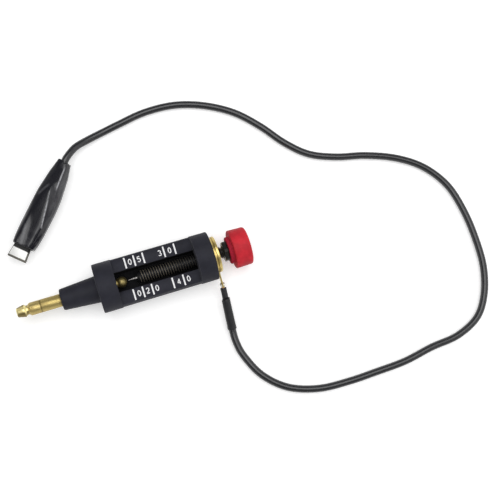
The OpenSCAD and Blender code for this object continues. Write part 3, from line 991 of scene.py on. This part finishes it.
def arc(
    middle: Pair, radii: Pair, first_deg: float, last_deg: float, steps: int = 18
) -> list[Pair]:
    """Points of an arc of an ellipse, from one angle to another in that many steps."""
    turns = [math.radians(first_deg + (last_deg - first_deg) * k / steps) for k in range(steps + 1)]
    return [(middle[0] + radii[0] * math.cos(t), middle[1] + radii[1] * math.sin(t)) for t in turns]


FIGURES: dict[str, tuple[list[Pair], ...]] = {
    "0": (arc((0.0, 0.0), (0.235, 0.46), 0.0, 360.0, 28),),
    "2": (
        arc((0.0, 0.2), (0.24, 0.27), 165.0, -38.0) + [(-0.25, -0.46)],
        [(-0.28, -0.46), (0.27, -0.46)],
    ),
    "3": (
        arc((-0.02, 0.22), (0.22, 0.24), 150.0, -80.0),
        arc((-0.02, -0.21), (0.26, 0.25), 80.0, -150.0),
    ),
    "4": (
        [(0.1, -0.5), (0.1, 0.48)],
        [(0.1, 0.46), (-0.28, -0.2)],
        [(-0.31, -0.2), (0.29, -0.2)],
    ),
    "5": (
        [(0.24, 0.46), (-0.2, 0.46)],
        [(-0.18, 0.46), (-0.22, 0.02)],
        arc((0.0, -0.16), (0.26, 0.3), 140.0, -150.0),
    ),
}


def dress(piece: bpy.types.Object, finish: Finish) -> bpy.types.Object:
    """Gives a piece one finish all over.

    Args:
        piece: the object.
        finish: its finish.

    Returns:
        The same object.
    """
    piece.data.materials.clear()
    piece.data.materials.append(finish.material())
    return piece


def dress_node(name: str, finish: Finish, edge_mm: float) -> bpy.types.Object:
    """Finishes a solid of the frame that stays in view, with its sharp edges rounded.

    Args:
        name: the node's name.
        finish: its finish.
        edge_mm: width of the rounding.

    Returns:
        The node's object.
    """
    piece = dress(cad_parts[name], finish)
    piece.data.shade_smooth()
    weld = piece.modifiers.new("joined_seams", "WELD")
    weld.merge_threshold = WELD_MM * MM
    bevel = piece.modifiers.new("soft_edges", "BEVEL")
    bevel.width = edge_mm * MM
    bevel.segments = EDGE_STEPS
    bevel.limit_method = "ANGLE"
    bevel.angle_limit = math.radians(EDGE_ANGLE_DEG)
    bevel.harden_normals = True
    bevel.use_clamp_overlap = True
    LOG.info("node %s: %s", name, finish.name)
    return piece


def pose(place: Point, axes: Sequence[Vector]) -> Matrix:
    """World matrix of a thing at a place in metres, with its axes along three directions."""
    return Matrix.Translation(place) @ Matrix(axes).transposed().to_4x4()


@dataclass(frozen=True)
class SoftBox:
    """A rectangular lamp: its place and size in metres, the turn of its length and its power."""

    name: str
    place: Point
    size: Pair
    turn_deg: float
    watts: float

    def build(self, aim: Point) -> bpy.types.Object:
        """Adds the lamp, facing a point.

        Args:
            aim: the point in metres.

        Returns:
            The lamp.
        """
        data = bpy.data.lights.new(self.name, "AREA")
        data.shape = "RECTANGLE"
        data.size, data.size_y = self.size
        data.energy = self.watts
        back = (Vector(self.place) - Vector(aim)).normalized()
        turn = math.radians(self.turn_deg)
        along = Vector((math.cos(turn), math.sin(turn), 0.0))
        along = (along - back * along.dot(back)).normalized()
        made = new_object(self.name, data)
        made.matrix_world = pose(self.place, (along, back.cross(along), back))
        return made


@dataclass
class Studio:
    """Camera, floor and soft light."""

    focal_px: float = 850.0
    frame_px: float = 500.0
    sensor_mm: float = 36.0
    clip_m: Pair = (0.01, 20.0)
    eye_mm: Point = (26.97, -40.3, 420.5)
    lean_deg: Pair = (9.3, 5.1)
    roll_deg: float = 17.42
    floor_mm: float = -12.3
    floor_half_m: float = 12.0
    floor_glow: float = 0.36
    paper: Point = (0.8, 0.8, 0.8, 1.0)
    fade_m: Pair = (0.4, 0.9)
    horizon: float = 0.6
    zenith: float = 0.1
    lean: Pair = (0.34, -0.29)
    wall: Pair = (0.15, 0.35)
    aim: Point = (0.05, 0.0, 0.0)
    boxes: tuple[SoftBox, ...] = (
        SoftBox("overhead", (0.04, 0.12, 1.0), (1.05, 0.85), 0.0, 8.6),
        SoftBox("fill", (0.85, -0.2, 0.65), (1.2, 0.8), 90.0, 2.4),
    )

    def camera(self) -> None:
        """Sets the camera where the photograph was taken from."""
        data = bpy.data.cameras.new("camera")
        data.sensor_width = self.sensor_mm
        data.lens = self.focal_px / self.frame_px * self.sensor_mm
        data.clip_start, data.clip_end = self.clip_m
        leans = [math.tan(math.radians(a)) for a in self.lean_deg]
        look = Vector((*leans, -1.0)).normalized()
        roll = math.radians(self.roll_deg)
        right = look.cross(Vector((math.sin(roll), math.cos(roll), 0.0))).normalized()
        made = new_object("camera", data)
        made.matrix_world = pose(Vector(self.eye_mm) * MM, (right, right.cross(look), -look))
        bpy.context.scene.camera = made

    def floor(self) -> None:
        """A wide pale floor that keeps the shadow and is white to what sees it far off."""
        half, z = self.floor_half_m, self.floor_mm * MM
        corners = [(x * half, y * half, z) for x, y in ((-1, -1), (1, -1), (1, 1), (-1, 1))]
        made = new_mesh("floor", corners, [(0, 1, 2, 3)])
        graph = Graph(bpy.data.materials.new("white_floor"))
        seen = graph.seen()
        x, y, _ = graph.split(graph.place())
        far = ((x * x + y * y) ** 0.5).over(*self.fade_m)
        paper = graph.node("ShaderNodeBsdfDiffuse", None, {"Color": self.paper})
        glow, white = (
            graph.node("ShaderNodeEmission", None, {"Color": WHITE, "Strength": strength})
            for strength in (self.floor_glow, 1.0)
        )
        lit = graph.node("ShaderNodeAddShader", None, {0: paper, 1: glow})
        near = graph.node("ShaderNodeMixShader", None, {0: seen, 1: paper, 2: lit})
        shown = graph.node("ShaderNodeMixShader", None, {0: seen * far, 1: near, 2: white})
        made.data.materials.append(graph.ended(shown))

    def surround(self) -> bpy.types.World:
        """A room with pale walls: darker overhead and on the side away from the fill.

        Returns:
            The world.
        """
        graph = Graph(bpy.data.worlds.new("surround"))
        way = graph.node("ShaderNodeTexCoord", output="Generated")
        east, north, height = graph.split(way)
        level = self.horizon + (self.zenith - self.horizon) * height.most(0.0)
        level = level * (1.0 + self.lean[0] * east + self.lean[1] * north)
        wall = graph.seen() * (1.0 - height.over(*self.wall))
        inputs = {"Color": WHITE, "Strength": level + wall * (1.0 - level)}
        return graph.ended(graph.node("ShaderNodeBackground", None, inputs))

    def build(self) -> None:
        """Sets the whole stage: a broad soft box overhead and a dim fill in a pale surround."""
        self.camera()
        self.floor()
        for box in self.boxes:
            box.build(self.aim)
        bpy.context.scene.world = self.surround()
        bpy.context.scene.view_settings.view_transform = "Standard"
        LOG.info("studio set")


@dataclass
class TestLead:
    """The free ground lead, from the wide sleeve to the clip."""

    diameter_mm: float = 3.7
    round_steps: int = 7
    rest_z_mm: float = -10.35
    sleeve_mm: tuple[Point, ...] = (
        (77.436, -22.406, -5.586), (77.017, -30.158, -7.519), (76.599, -37.909, -9.452),
    )
    run_mm: tuple[Point, ...] = (
        (0, -6.7, 0.3), (1.7, -14.6, 0), (7.7, -26.6, 0), (18.6, -36.5, 0), (33.5, -41.9, 0),
        (49.5, -43.2, 0), (65.5, -43, 0), (81.6, -42.4, 0), (97.5, -39.8, 0), (112.7, -38.3, 0),
        (126.1, -32.5, 0), (134.1, -22, 0), (138.7, -7.7, 0), (139.5, 8.3, 0), (138.1, 24.3, 0),
        (133.9, 39.5, 0), (124.5, 52.3, 0), (111.4, 61.1, 0), (95.7, 67, 0), (80.2, 70.5, 0),
        (66.3, 76, 0), (55.5, 85.3, 0), (45.9, 97.1, 0), (34.6, 107.9, 0), (20.5, 115.7, 0),
        (5.4, 120, 0), (-10.5, 120.3, 0), (-25.4, 117.5, 0.4),
    )
    clip_end_mm: tuple[Point, ...] = (
        (-71, 10.5, -4.8), (-63, 5, -3.4), (-56.5, 1.4, -1.4), (-50, 0.1, 0.1), (-46.5, 0.1, 0),
        (-43, 0, -1), (-39.8, 0, -2.2), (-38.2, 0, -2.5), (-36.1, 0, -2.5),
    )
    steps: int = 6

    def route(self) -> list[Vector]:
        """Gathers the points that the lead passes.

        Returns:
            The points in metres: in the sleeve, on the table from the sleeve's end, in the clip.
        """
        ex, ey, _ = self.sleeve_mm[-1]
        points = [Vector(p) * MM for p in self.sleeve_mm]
        points += [Vector((ex + x, ey + y, self.rest_z_mm + z)) * MM for x, y, z in self.run_mm]
        return points + [CLIP.at(p) for p in self.clip_end_mm]

    def line(self) -> list[Vector]:
        """Draws a smooth line through the route.

        Returns:
            Its points, with several steps between neighbours of the route.
        """
        points = self.route()
        made: list[Vector] = []
        for i in range(len(points) - 1):
            a, b, c, d = (points[max(0, min(len(points) - 1, k))] for k in range(i - 1, i + 3))
            made += [through(a, b, c, d, s / self.steps) for s in range(self.steps)]
        made.append(points[-1])
        return made

    def build(self, clip: "SpringClip") -> None:
        """Args:
            clip: the clip on its far end; not used.
        """
        line = self.line()
        data = bpy.data.curves.new("lead", "CURVE")
        data.dimensions = "3D"
        data.bevel_depth = self.diameter_mm / 2 * MM
        data.bevel_resolution = self.round_steps
        data.use_fill_caps = True
        spline = data.splines.new("POLY")
        spline.points.add(len(line) - 1)
        for point, place in zip(spline.points, line):
            point.co = (*place, 1.0)
        spline.use_smooth = True
        made = dress(new_object("lead", data), JACKET)
        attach(made, Body.BODY.value)
        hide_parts("test_lead")


@dataclass
class ScaleBody:
    """The black body with its printed scale."""

    edge_mm: float = 0.22
    flat_z_mm: float = 4.5
    ink_mm: float = 0.04
    ink_sunk_mm: float = 0.02
    line_x_mm: tuple[float, ...] = (34.25, 38.85, 43.45, 53.95, 59.4)
    line_w_mm: float = 0.74
    band_mm: Pair = (5.35, 10.7)
    figure_mm: float = 2.75
    stroke_mm: float = 0.5
    stroke_sides: int = 10
    far_digits: tuple[tuple[str, float], ...] = (
        ("0", 36.6), ("5", 41.1), ("3", 51.7), ("0", 56.75),
    )
    near_digits: tuple[tuple[str, float], ...] = (
        ("0", 36.7), ("2", 41.0), ("0", 45.75), ("4", 56.85), ("0", 61.75),
    )

    def lines(self) -> bpy.types.Object:
        """Prints the division lines on both rails.

        Returns:
            All the lines as one piece.
        """
        half = self.line_w_mm / 2
        z0, z1 = self.flat_z_mm - self.ink_sunk_mm, self.flat_z_mm + self.ink_mm
        low, high = self.band_mm
        box = ((0, 3, 2, 1), (4, 5, 6, 7), (0, 1, 5, 4), (1, 2, 6, 5), (2, 3, 7, 6), (3, 0, 4, 7))
        verts: list[Vector] = []
        faces: list[tuple[int, ...]] = []
        for y0, y1 in ((low, high), (-high, -low)):
            plan = ((-half, y0), (half, y0), (half, y1), (-half, y1))
            for x in self.line_x_mm:
                faces += [tuple(len(verts) + k for k in corners) for corners in box]
                verts += [Vector((x + dx, y, z)) * MM for z in (z0, z1) for dx, y in plan]
        made = new_mesh("scale_lines", verts, faces)
        made.data.shade_flat()
        return made

    def figure(self, name: str, text: str, x: float, y: float) -> list[bpy.types.Object]:
        """One printed figure, a flat ridge of ink for each stroke.

        Args:
            name: start of the pieces' names.
            text: the figure.
            x: its middle along the body in millimetres.
            y: its middle across the body in millimetres.

        Returns:
            The new objects.
        """
        flat = Matrix.Diagonal((1.0, 1.0, self.ink_mm / self.stroke_mm, 1.0))
        lift = Matrix.Translation((0.0, 0.0, self.flat_z_mm * MM))
        made: list[bpy.types.Object] = []
        for k, stroke in enumerate(FIGURES[text]):
            places = ((x + self.figure_mm * p, y + self.figure_mm * q, 0.0) for p, q in stroke)
            line = [Vector(place) * MM for place in places]
            piece = tube_along(f"{name}_{k}", line, self.stroke_mm / 2 * MM, self.stroke_sides)
            piece.data.transform(lift @ flat)
            made.append(piece)
        return made

    def build(self) -> None:
        """Dresses the body and prints its scale."""
        dress_node("housing", BLACK_PLASTIC, self.edge_mm)
        pieces = [self.lines()]
        middle = sum(self.band_mm) / 2
        rails = (("far", self.far_digits, middle), ("near", self.near_digits, -middle))
        for side, digits, y in rails:
            for k, (text, x) in enumerate(digits):
                pieces += self.figure(f"scale_{side}_{k}", text, x, y)
        for piece in pieces:
            dress(piece, INK)
            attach(piece, Body.BODY.value)
            LOG.info("print %s", piece.name)


@dataclass
class PlugTerminal:
    """The brass cap and rod at the nose."""

    edge_mm: float = 0.12

    def build(self) -> None:
        """Dresses both brass pieces."""
        dress_node("terminal_cap", TERMINAL_BRASS, self.edge_mm)
        dress_node("electrode_rod", ROD_BRASS, self.edge_mm)


@dataclass
class GapAdjuster:
    """Needle, threaded screw, nut and knob."""

    needle_edge_mm: float = 0.04
    nut_edge_mm: float = 0.15
    knob_edge_mm: float = 0.2
    pitch_mm: float = 1.27
    crest_mm: float = 3.175
    depth_mm: float = 0.75
    end_cut_mm: float = 0.25
    start_mm: float = 38.1
    thread_end_mm: float = 84.9
    end_mm: float = 91.9
    lead_in_mm: float = 0.1
    rise_per_turn: float = 3.0
    fall_per_turn: float = 2.0
    turn_sides: int = 40
    profile: tuple[Pair, ...] = (
        (0.0, 0.0), (0.2, 0.0), (0.5, 0.86), (0.56, 0.98), (0.61, 1.0), (0.66, 0.98), (0.72, 0.86),
    )

    def around(self, x: float, r: float, step: int) -> Vector:
        """A point on a circle about the axis, in metres."""
        turn = math.tau * step / self.turn_sides
        return Vector((x, r * math.cos(turn), r * math.sin(turn))) * MM

    def thread_point(self, step: int, part: float, height: float, last: int) -> Vector:
        """A point of the thread, which rises from the core at one end and falls at the other.

        Args:
            step: step of the helix.
            part: part of the pitch.
            height: height over the root, as a share of the thread's depth.
            last: last step of the helix.

        Returns:
            The point in metres.
        """
        rise = step / self.turn_sides * self.rise_per_turn
        fall = (last - self.turn_sides - step) / self.turn_sides * self.fall_per_turn
        r = self.crest_mm - self.depth_mm * (1.0 - height * max(0.0, min(1.0, rise, fall)))
        x = self.start_mm + self.lead_in_mm + self.pitch_mm * (step / self.turn_sides + part)
        return self.around(x, r, step)

    def screw(self) -> bpy.types.Object:
        """Makes the whole screw as one closed mesh with a helical thread.

        Returns:
            The screw.
        """
        sides, rows = self.turn_sides, len(self.profile)
        turns = int((self.thread_end_mm - self.start_mm - self.lead_in_mm) / self.pitch_mm)
        last, top = sides * turns, rows - 1
        verts = [self.thread_point(i, p, h, last) for i in range(last + 1) for p, h in self.profile]
        core = self.crest_mm - self.depth_mm - self.end_cut_mm
        for x in (self.start_mm, self.end_mm):
            verts += [self.around(x, core, j) for j in range(sides)]
        front, back = rows * (last + 1), rows * (last + 1) + sides

        def at(i: int, k: int) -> int:
            """Index of a thread point."""
            return rows * i + k

        faces: list[tuple[int, ...]] = []
        for i in range(last):
            faces += [(at(i, k), at(i + 1, k), at(i + 1, k + 1), at(i, k + 1)) for k in range(top)]
            if i < last - sides:
                faces.append((at(i, top), at(i + 1, top), at(i + sides + 1, 0), at(i + sides, 0)))
        for j in range(sides):
            n = (j + 1) % sides
            i = last - sides + j
            faces.append((front + j, front + n, at(j + 1, 0), at(j, 0)))
            faces.append((at(i, top), at(i + 1, top), back + n, back + j))
        faces.append((front, *[at(0, k) for k in range(rows)], at(sides, 0)))
        faces.append((back, *[at(last, k) for k in range(top, -1, -1)], at(last - sides, top)))
        faces += [tuple(start + j for j in range(sides)) for start in (front, back)]
        return outward(new_mesh("screw_thread", verts, faces))

    def build(self) -> None:
        """Dresses the moving pieces and gives the screw its fine thread."""
        dress_node("needle", NEEDLE_STEEL, self.needle_edge_mm)
        screw = dress(self.screw(), BLACK_STEEL)
        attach(screw, Body.ADJUSTER.value)
        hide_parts("adjusting_screw")
        LOG.info("screw thread made")
        dress_node("jam_nut", NUT_STEEL, self.nut_edge_mm)
        dress_node("knob", RED_PLASTIC, self.knob_edge_mm)


@dataclass
class LugStack:
    """Brass bush, washer and lug, with the soldered and sleeved end of the lead."""

    edge_mm: float = 0.12
    wire_edge_mm: float = 0.05
    bead_edge_mm: float = 0.1
    tail_end_mm: Point = (77.75, -16.592, -4.137)
    sleeve_way: Point = (-0.05234, -0.96897, -0.24159)
    sleeve_sides: int = 44
    slant_mm: float = 0.45
    slant_fade_mm: float = 5.0
    uneven_mm: float = 0.05
    uneven_round: float = 0.9
    uneven_along: float = 0.35
    narrow_mm: tuple[Pair, ...] = (
        (0.3, 0.86), (0.2, 1.1), (0.2, 1.42), (0.32, 1.54), (0.8, 1.57), (1.8, 1.54),
        (2.8, 1.55), (3.8, 1.57), (4.8, 1.55), (5.8, 1.55), (5.95, 1.3), (5.9, 0.86),
    )
    wide_mm: tuple[Pair, ...] = (
        (6.4, 1.91), (6.02, 1.6), (6.0, 1.68), (6.03, 1.92), (6.15, 2.08), (6.5, 2.14),
        (8.0, 2.13), (10.0, 2.16), (12.0, 2.16), (14.0, 2.2), (16.0, 2.19), (18.0, 2.22),
        (20.0, 2.23), (21.3, 2.3), (21.75, 2.29), (21.96, 2.18), (21.98, 2.02), (21.9, 1.91),
    )

    def sleeve(self, name: str, profile: Sequence[Pair], slant: float) -> bpy.types.Object:
        """A shrunk sleeve: a closed shell with a slanted first end and a slightly uneven wall.

        Args:
            name: the piece's name.
            profile: places along the sleeve and radii, in millimetres, round the wall.
            slant: how far the first end leans over its radius, in millimetres.

        Returns:
            The new object.
        """
        ahead = Vector(self.sleeve_way).normalized()
        across = (Vector((1.0, 0.0, 0.0)) - ahead * ahead.x).normalized()
        over = across.cross(ahead)
        first = min(s for s, _ in profile)
        verts: list[Vector] = []
        for s, r in profile:
            lean = slant * (1.0 - smooth_step(s, first, first + self.slant_fade_mm))
            for j in range(self.sleeve_sides):
                turn = math.tau * j / self.sleeve_sides
                x, y = math.cos(turn), math.sin(turn)
                where = (x * self.uneven_round, y * self.uneven_round, s * self.uneven_along)
                wall = r + self.uneven_mm * noise.noise(Vector(where))
                middle = Vector(self.tail_end_mm) + ahead * (s - lean * x)
                verts.append((middle + (x * across + y * over) * wall) * MM)
        return outward(new_mesh(name, verts, band_faces(len(profile), self.sleeve_sides, True)))

    def build(self) -> None:
        """Dresses the stack and the end of the lead."""
        for name in ("threaded_bush", "lug_washer", "solder_lug"):
            dress_node(name, BRASS, self.edge_mm)
        dress_node("lug_wire", COPPER, self.wire_edge_mm)
        dress_node("lug_solder", SOLDER, self.bead_edge_mm)
        for node, profile, slant in (
            ("sleeve_small", self.narrow_mm, 0.0),
            ("sleeve_large", self.wide_mm, self.slant_mm),
        ):
            piece = dress(self.sleeve(node + "_shrunk", profile, slant), HEAT_SHRINK)
            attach(piece, Body.BODY.value)
            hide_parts(node)
            LOG.info("sleeve %s", piece.name)


@dataclass(frozen=True)
class Fold:
    """A crest or a valley along the boot: its line in the clip's frame, height and reach."""

    line: tuple[Pair, ...]
    height: float
    left: float
    right: float
    fade: float
    crest: float
    power: float
    skirt: float = 1.5

    def lift(self, u: float, v: float) -> float:
        """Height that the fold adds to the skin.

        Args:
            u: place along the clip in millimetres.
            v: place across it.

        Returns:
            The height in millimetres.
        """
        first, last = self.line[0][0], self.line[-1][0]
        if not first < u < last:
            return 0.0
        middle = row_at(self.line, u)[0]
        reach, power = (self.left, self.power) if v < middle else (self.right, self.skirt)
        away = abs(v - middle) / reach
        if away >= 1.0:
            return 0.0
        fall = math.hypot(away, self.crest) - self.crest
        peak = 1.0 - fall / (math.hypot(1.0, self.crest) - self.crest)
        ends = smooth_step(min(u - first, last - u), 0.0, self.fade)
        return self.height * peak**power * ends


@dataclass
class ClipBoot:
    """The soft vinyl boot: a thin shell drawn over the clip, with the creases of its handles.

    A station has its place, half width, half height, squareness, and the height and the side of
    its middle. The lip and the tail have places off the boot's ends and shares of the wall.
    """

    wall_mm: float = 0.8
    sides: int = 96
    outer_rings: int = 104
    outer_mm: Pair = (0.15, 0.4)
    inner_rings: int = 40
    inner_mm: Pair = (0.4, 0.7)
    lip: tuple[Pair, ...] = ((-0.08, 0.12), (0.0, 0.35), (0.0, 0.65), (-0.1, 0.9))
    tail: tuple[Pair, ...] = ((0.08, 0.85), (0.0, 0.6), (0.0, 0.35), (0.05, 0.1))
    top_part: Pair = (0.1, 0.6)
    sink_mm: float = 0.5
    sink_from_mm: Pair = (-47.0, -42.0)
    sink_to_mm: Pair = (-5.0, 0.0)
    cut_top: Pair = (-0.3, 0.4)
    cut_fade_mm: Pair = (-47.0, -41.0)
    tail_cut_mm: tuple[Pair, ...] = (
        (-4.5, -0.1), (-2.6, -0.1), (-0.6, 0.1), (0.6, 1.0), (1.8, 1.1), (2.6, 0.5), (4.5, 0.6),
    )
    stations_mm: tuple[Point, ...] = (
        (-47, 3.4, 3.4, 2.6, 0.3, 0.2), (-43.5, 4.1, 4.2, 2.6, 0.2, 0.3),
        (-40, 4.8, 5.3, 2.8, 0, 0.4), (-35, 5.4, 6.4, 3, 0, 0.5), (-29, 6.1, 7, 3, 0, 0.6),
        (-22, 6.4, 6.9, 3, 0, 0.7), (-15, 6.4, 6.3, 3.2, 0, 0.6), (-8, 6.3, 5.4, 3.6, 0, 0.5),
        (-3, 5.9, 4.7, 4.6, 0, 0.4), (0, 5.4, 4.4, 5, 0, 0.3),
    )
    folds: tuple[Fold, ...] = (
        Fold(
            ((-56.0, 1.4), (-47.5, 2.0), (-42.5, 2.5), (-37.5, 3.0), (-33.0, 3.5), (-26.0, 4.4)),
            height=0.95, left=5.8, right=2.6, fade=8.0, crest=0.08, power=1.25, skirt=2.0,
        ),
        Fold(
            (
                (-37.0, 0.4), (-31.5, 1.0), (-28.5, 1.6), (-24.8, 2.5), (-19.1, 3.4),
                (-14.7, 4.3), (-9.5, 4.9), (-4.0, 4.4), (5.0, 4.0),
            ),
            height=1.4, left=6.4, right=2.8, fade=8.0, crest=0.08, power=1.25, skirt=2.0,
        ),
        Fold(
            ((-13.0, 6.8), (-7.7, 5.7), (-4.1, 5.3), (2.0, 4.8)),
            height=-1.0, left=1.6, right=1.2, fade=3.0, crest=0.3, power=1.2,
        ),
        Fold(
            ((-33.5, 5.8), (-29.5, 5.4), (-26.0, 5.4), (-22.5, 5.8)),
            height=-0.5, left=2.0, right=2.0, fade=4.0, crest=0.5, power=2.0, skirt=2.0,
        ),
        Fold(
            ((-16.0, -3.2), (-8.0, -2.4), (-4.0, -1.7), (3.0, -1.0)),
            height=0.34, left=4.0, right=2.6, fade=7.0, crest=0.2, power=1.2, skirt=1.4,
        ),
    )

    def skin(self, u: float, turn: float, inset: float) -> Triple:
        """A point of the boot in the clip's frame.

        Args:
            u: place along the clip in millimetres.
            turn: angle round the boot in radians.
            inset: depth under the outer skin in millimetres.

        Returns:
            The point in millimetres.
        """
        half_w, half_h, square, middle_z, middle_v = row_at(self.stations_mm, u)
        c, s = math.cos(turn), math.sin(turn)
        wide, high = half_w - inset, half_h - inset
        reach = (abs(c / wide) ** square + abs(s / high) ** square) ** (-1.0 / square)
        v, z = middle_v + reach * c, middle_z + reach * s
        top = smooth_step(reach * s / high, *self.top_part)
        if top > 0.0:
            sunk = self.sink_mm * smooth_step(u, *self.sink_from_mm)
            sunk *= 1.0 - smooth_step(u, *self.sink_to_mm)
            z += top * (sum(fold.lift(u, v) for fold in self.folds) - sunk)
        cut = row_at(self.tail_cut_mm, v)[0] * smooth_step(s, *self.cut_top)
        return u + cut * (1.0 - smooth_step(u, *self.cut_fade_mm)), v, z

    def loops(self) -> list[Pair]:
        """Lists the loops of the shell, up the outside and back down the inside.

        Returns:
            The place and the depth of each loop.
        """
        first, last = self.stations_mm[0][0], self.stations_mm[-1][0]
        wall, span = self.wall_mm, last - first
        (out_in, out_less), (inner_in, inner_less) = self.outer_mm, self.inner_mm
        n, m = self.outer_rings, self.inner_rings
        outside = [(first + out_in + (span - out_less) * k / n, 0.0) for k in range(n + 1)]
        lip = [(last + off, wall * share) for off, share in self.lip]
        inside = [(last - inner_in - (span - inner_less) * k / m, wall) for k in range(m + 1)]
        tail = [(first + off, wall * share) for off, share in self.tail]
        return outside + lip + inside + tail

    def build(self) -> bpy.types.Object:
        """Lofts the shell.

        Returns:
            The boot.
        """
        loops = self.loops()
        turns = [math.tau * j / self.sides for j in range(self.sides)]
        verts = [CLIP.at(self.skin(u, turn, inset)) for u, inset in loops for turn in turns]
        return outward(new_mesh("boot_shell", verts, band_faces(len(loops), self.sides, True)))


@dataclass
class SpringClip:
    """The spring clip in its soft boot."""

    edge_mm: float = 0.1
    wire_edge_mm: float = 0.05
    pivot_mm: float = -13.0
    coil_r_mm: float = 1.75
    coil_pitch_mm: float = 1.06
    coil_turns: float = 3.5 - 28.0 / 360.0
    coil_steps: int = 120
    wire_r_mm: float = 0.3
    wire_sides: int = 12
    leg_mm: float = 8.0
    leg_deg: float = 14.0
    leg_steps: int = 8
    spring_bend_mm: float = 1.6
    boot_bend_mm: Pair = (0.71, 4.28)
    boot: ClipBoot = field(default_factory=ClipBoot)
    pieces: list[bpy.types.Object] = field(default_factory=list)

    def coil(self, part: float) -> Vector:
        """A point of the spring's coils in the clip's frame.

        Args:
            part: from 0 at the upper leg to 1 at the lower.

        Returns:
            The point in millimetres.
        """
        turn = math.radians(90.0 - self.leg_deg - part * 360.0 * self.coil_turns)
        side = self.coil_pitch_mm * self.coil_turns * (0.5 - part)
        u = self.pivot_mm + self.coil_r_mm * math.cos(turn)
        return Vector((u, side, self.coil_r_mm * math.sin(turn)))

    def spring(self) -> bpy.types.Object:
        """Makes the torsion spring: two legs and the coils round the rivet.

        Returns:
            The spring.
        """
        lean = math.radians(self.leg_deg)
        leg = self.leg_mm * Vector((-math.cos(lean), 0.0, math.sin(lean)))
        steps, n = self.coil_steps, self.leg_steps
        line = [self.coil(0.0) + leg * (1.0 - k / n) for k in range(n)]
        line += [self.coil(k / steps) for k in range(steps + 1)]
        leg.z = -leg.z
        line += [self.coil(1.0) + leg * (k / n) for k in range(1, n + 1)]
        path = [CLIP.at(p) for p in line]
        return tube_along("torsion_spring", path, self.wire_r_mm * MM, self.wire_sides)

    def soft(self, piece: bpy.types.Object, node: str) -> None:
        """Puts a soft piece in place of a solid: bakes its place, hides the solid and adds it to
        the clip's pieces.

        Args:
            piece: the object.
            node: the solid's name.
        """
        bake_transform(piece)
        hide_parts(node)
        self.pieces.append(piece)
        LOG.info("soft piece %s", piece.name)

    def build(self) -> None:
        """Dresses the clip and makes its soft pieces."""
        for name, finish, edge_mm in (
            ("clip_lower_jaw", NICKEL, self.edge_mm),
            ("clip_upper_jaw", NICKEL, self.edge_mm),
            ("clip_rivet", RIVET_STEEL, self.edge_mm),
            ("clip_wire", COPPER, self.wire_edge_mm),
            ("clip_solder", SOLDER, self.edge_mm),
        ):
            self.pieces.append(dress_node(name, finish, edge_mm))
        spring = dress(self.spring(), SPRING_STEEL)
        self.soft(spring, "clip_spring")
        boot = dress(self.boot.build(), VINYL)
        self.soft(boot, "clip_boot")


def main() -> None:
    """Builds the stage and every sub-assembly in order."""
    logging.basicConfig(level=logging.INFO, format="%(message)s")
    Studio().build()
    clip = SpringClip()
    clip.build()
    TestLead().build(clip)
    ScaleBody().build()
    PlugTerminal().build()
    GapAdjuster().build()
    LugStack().build()


if __name__ == "__main__":
    main()
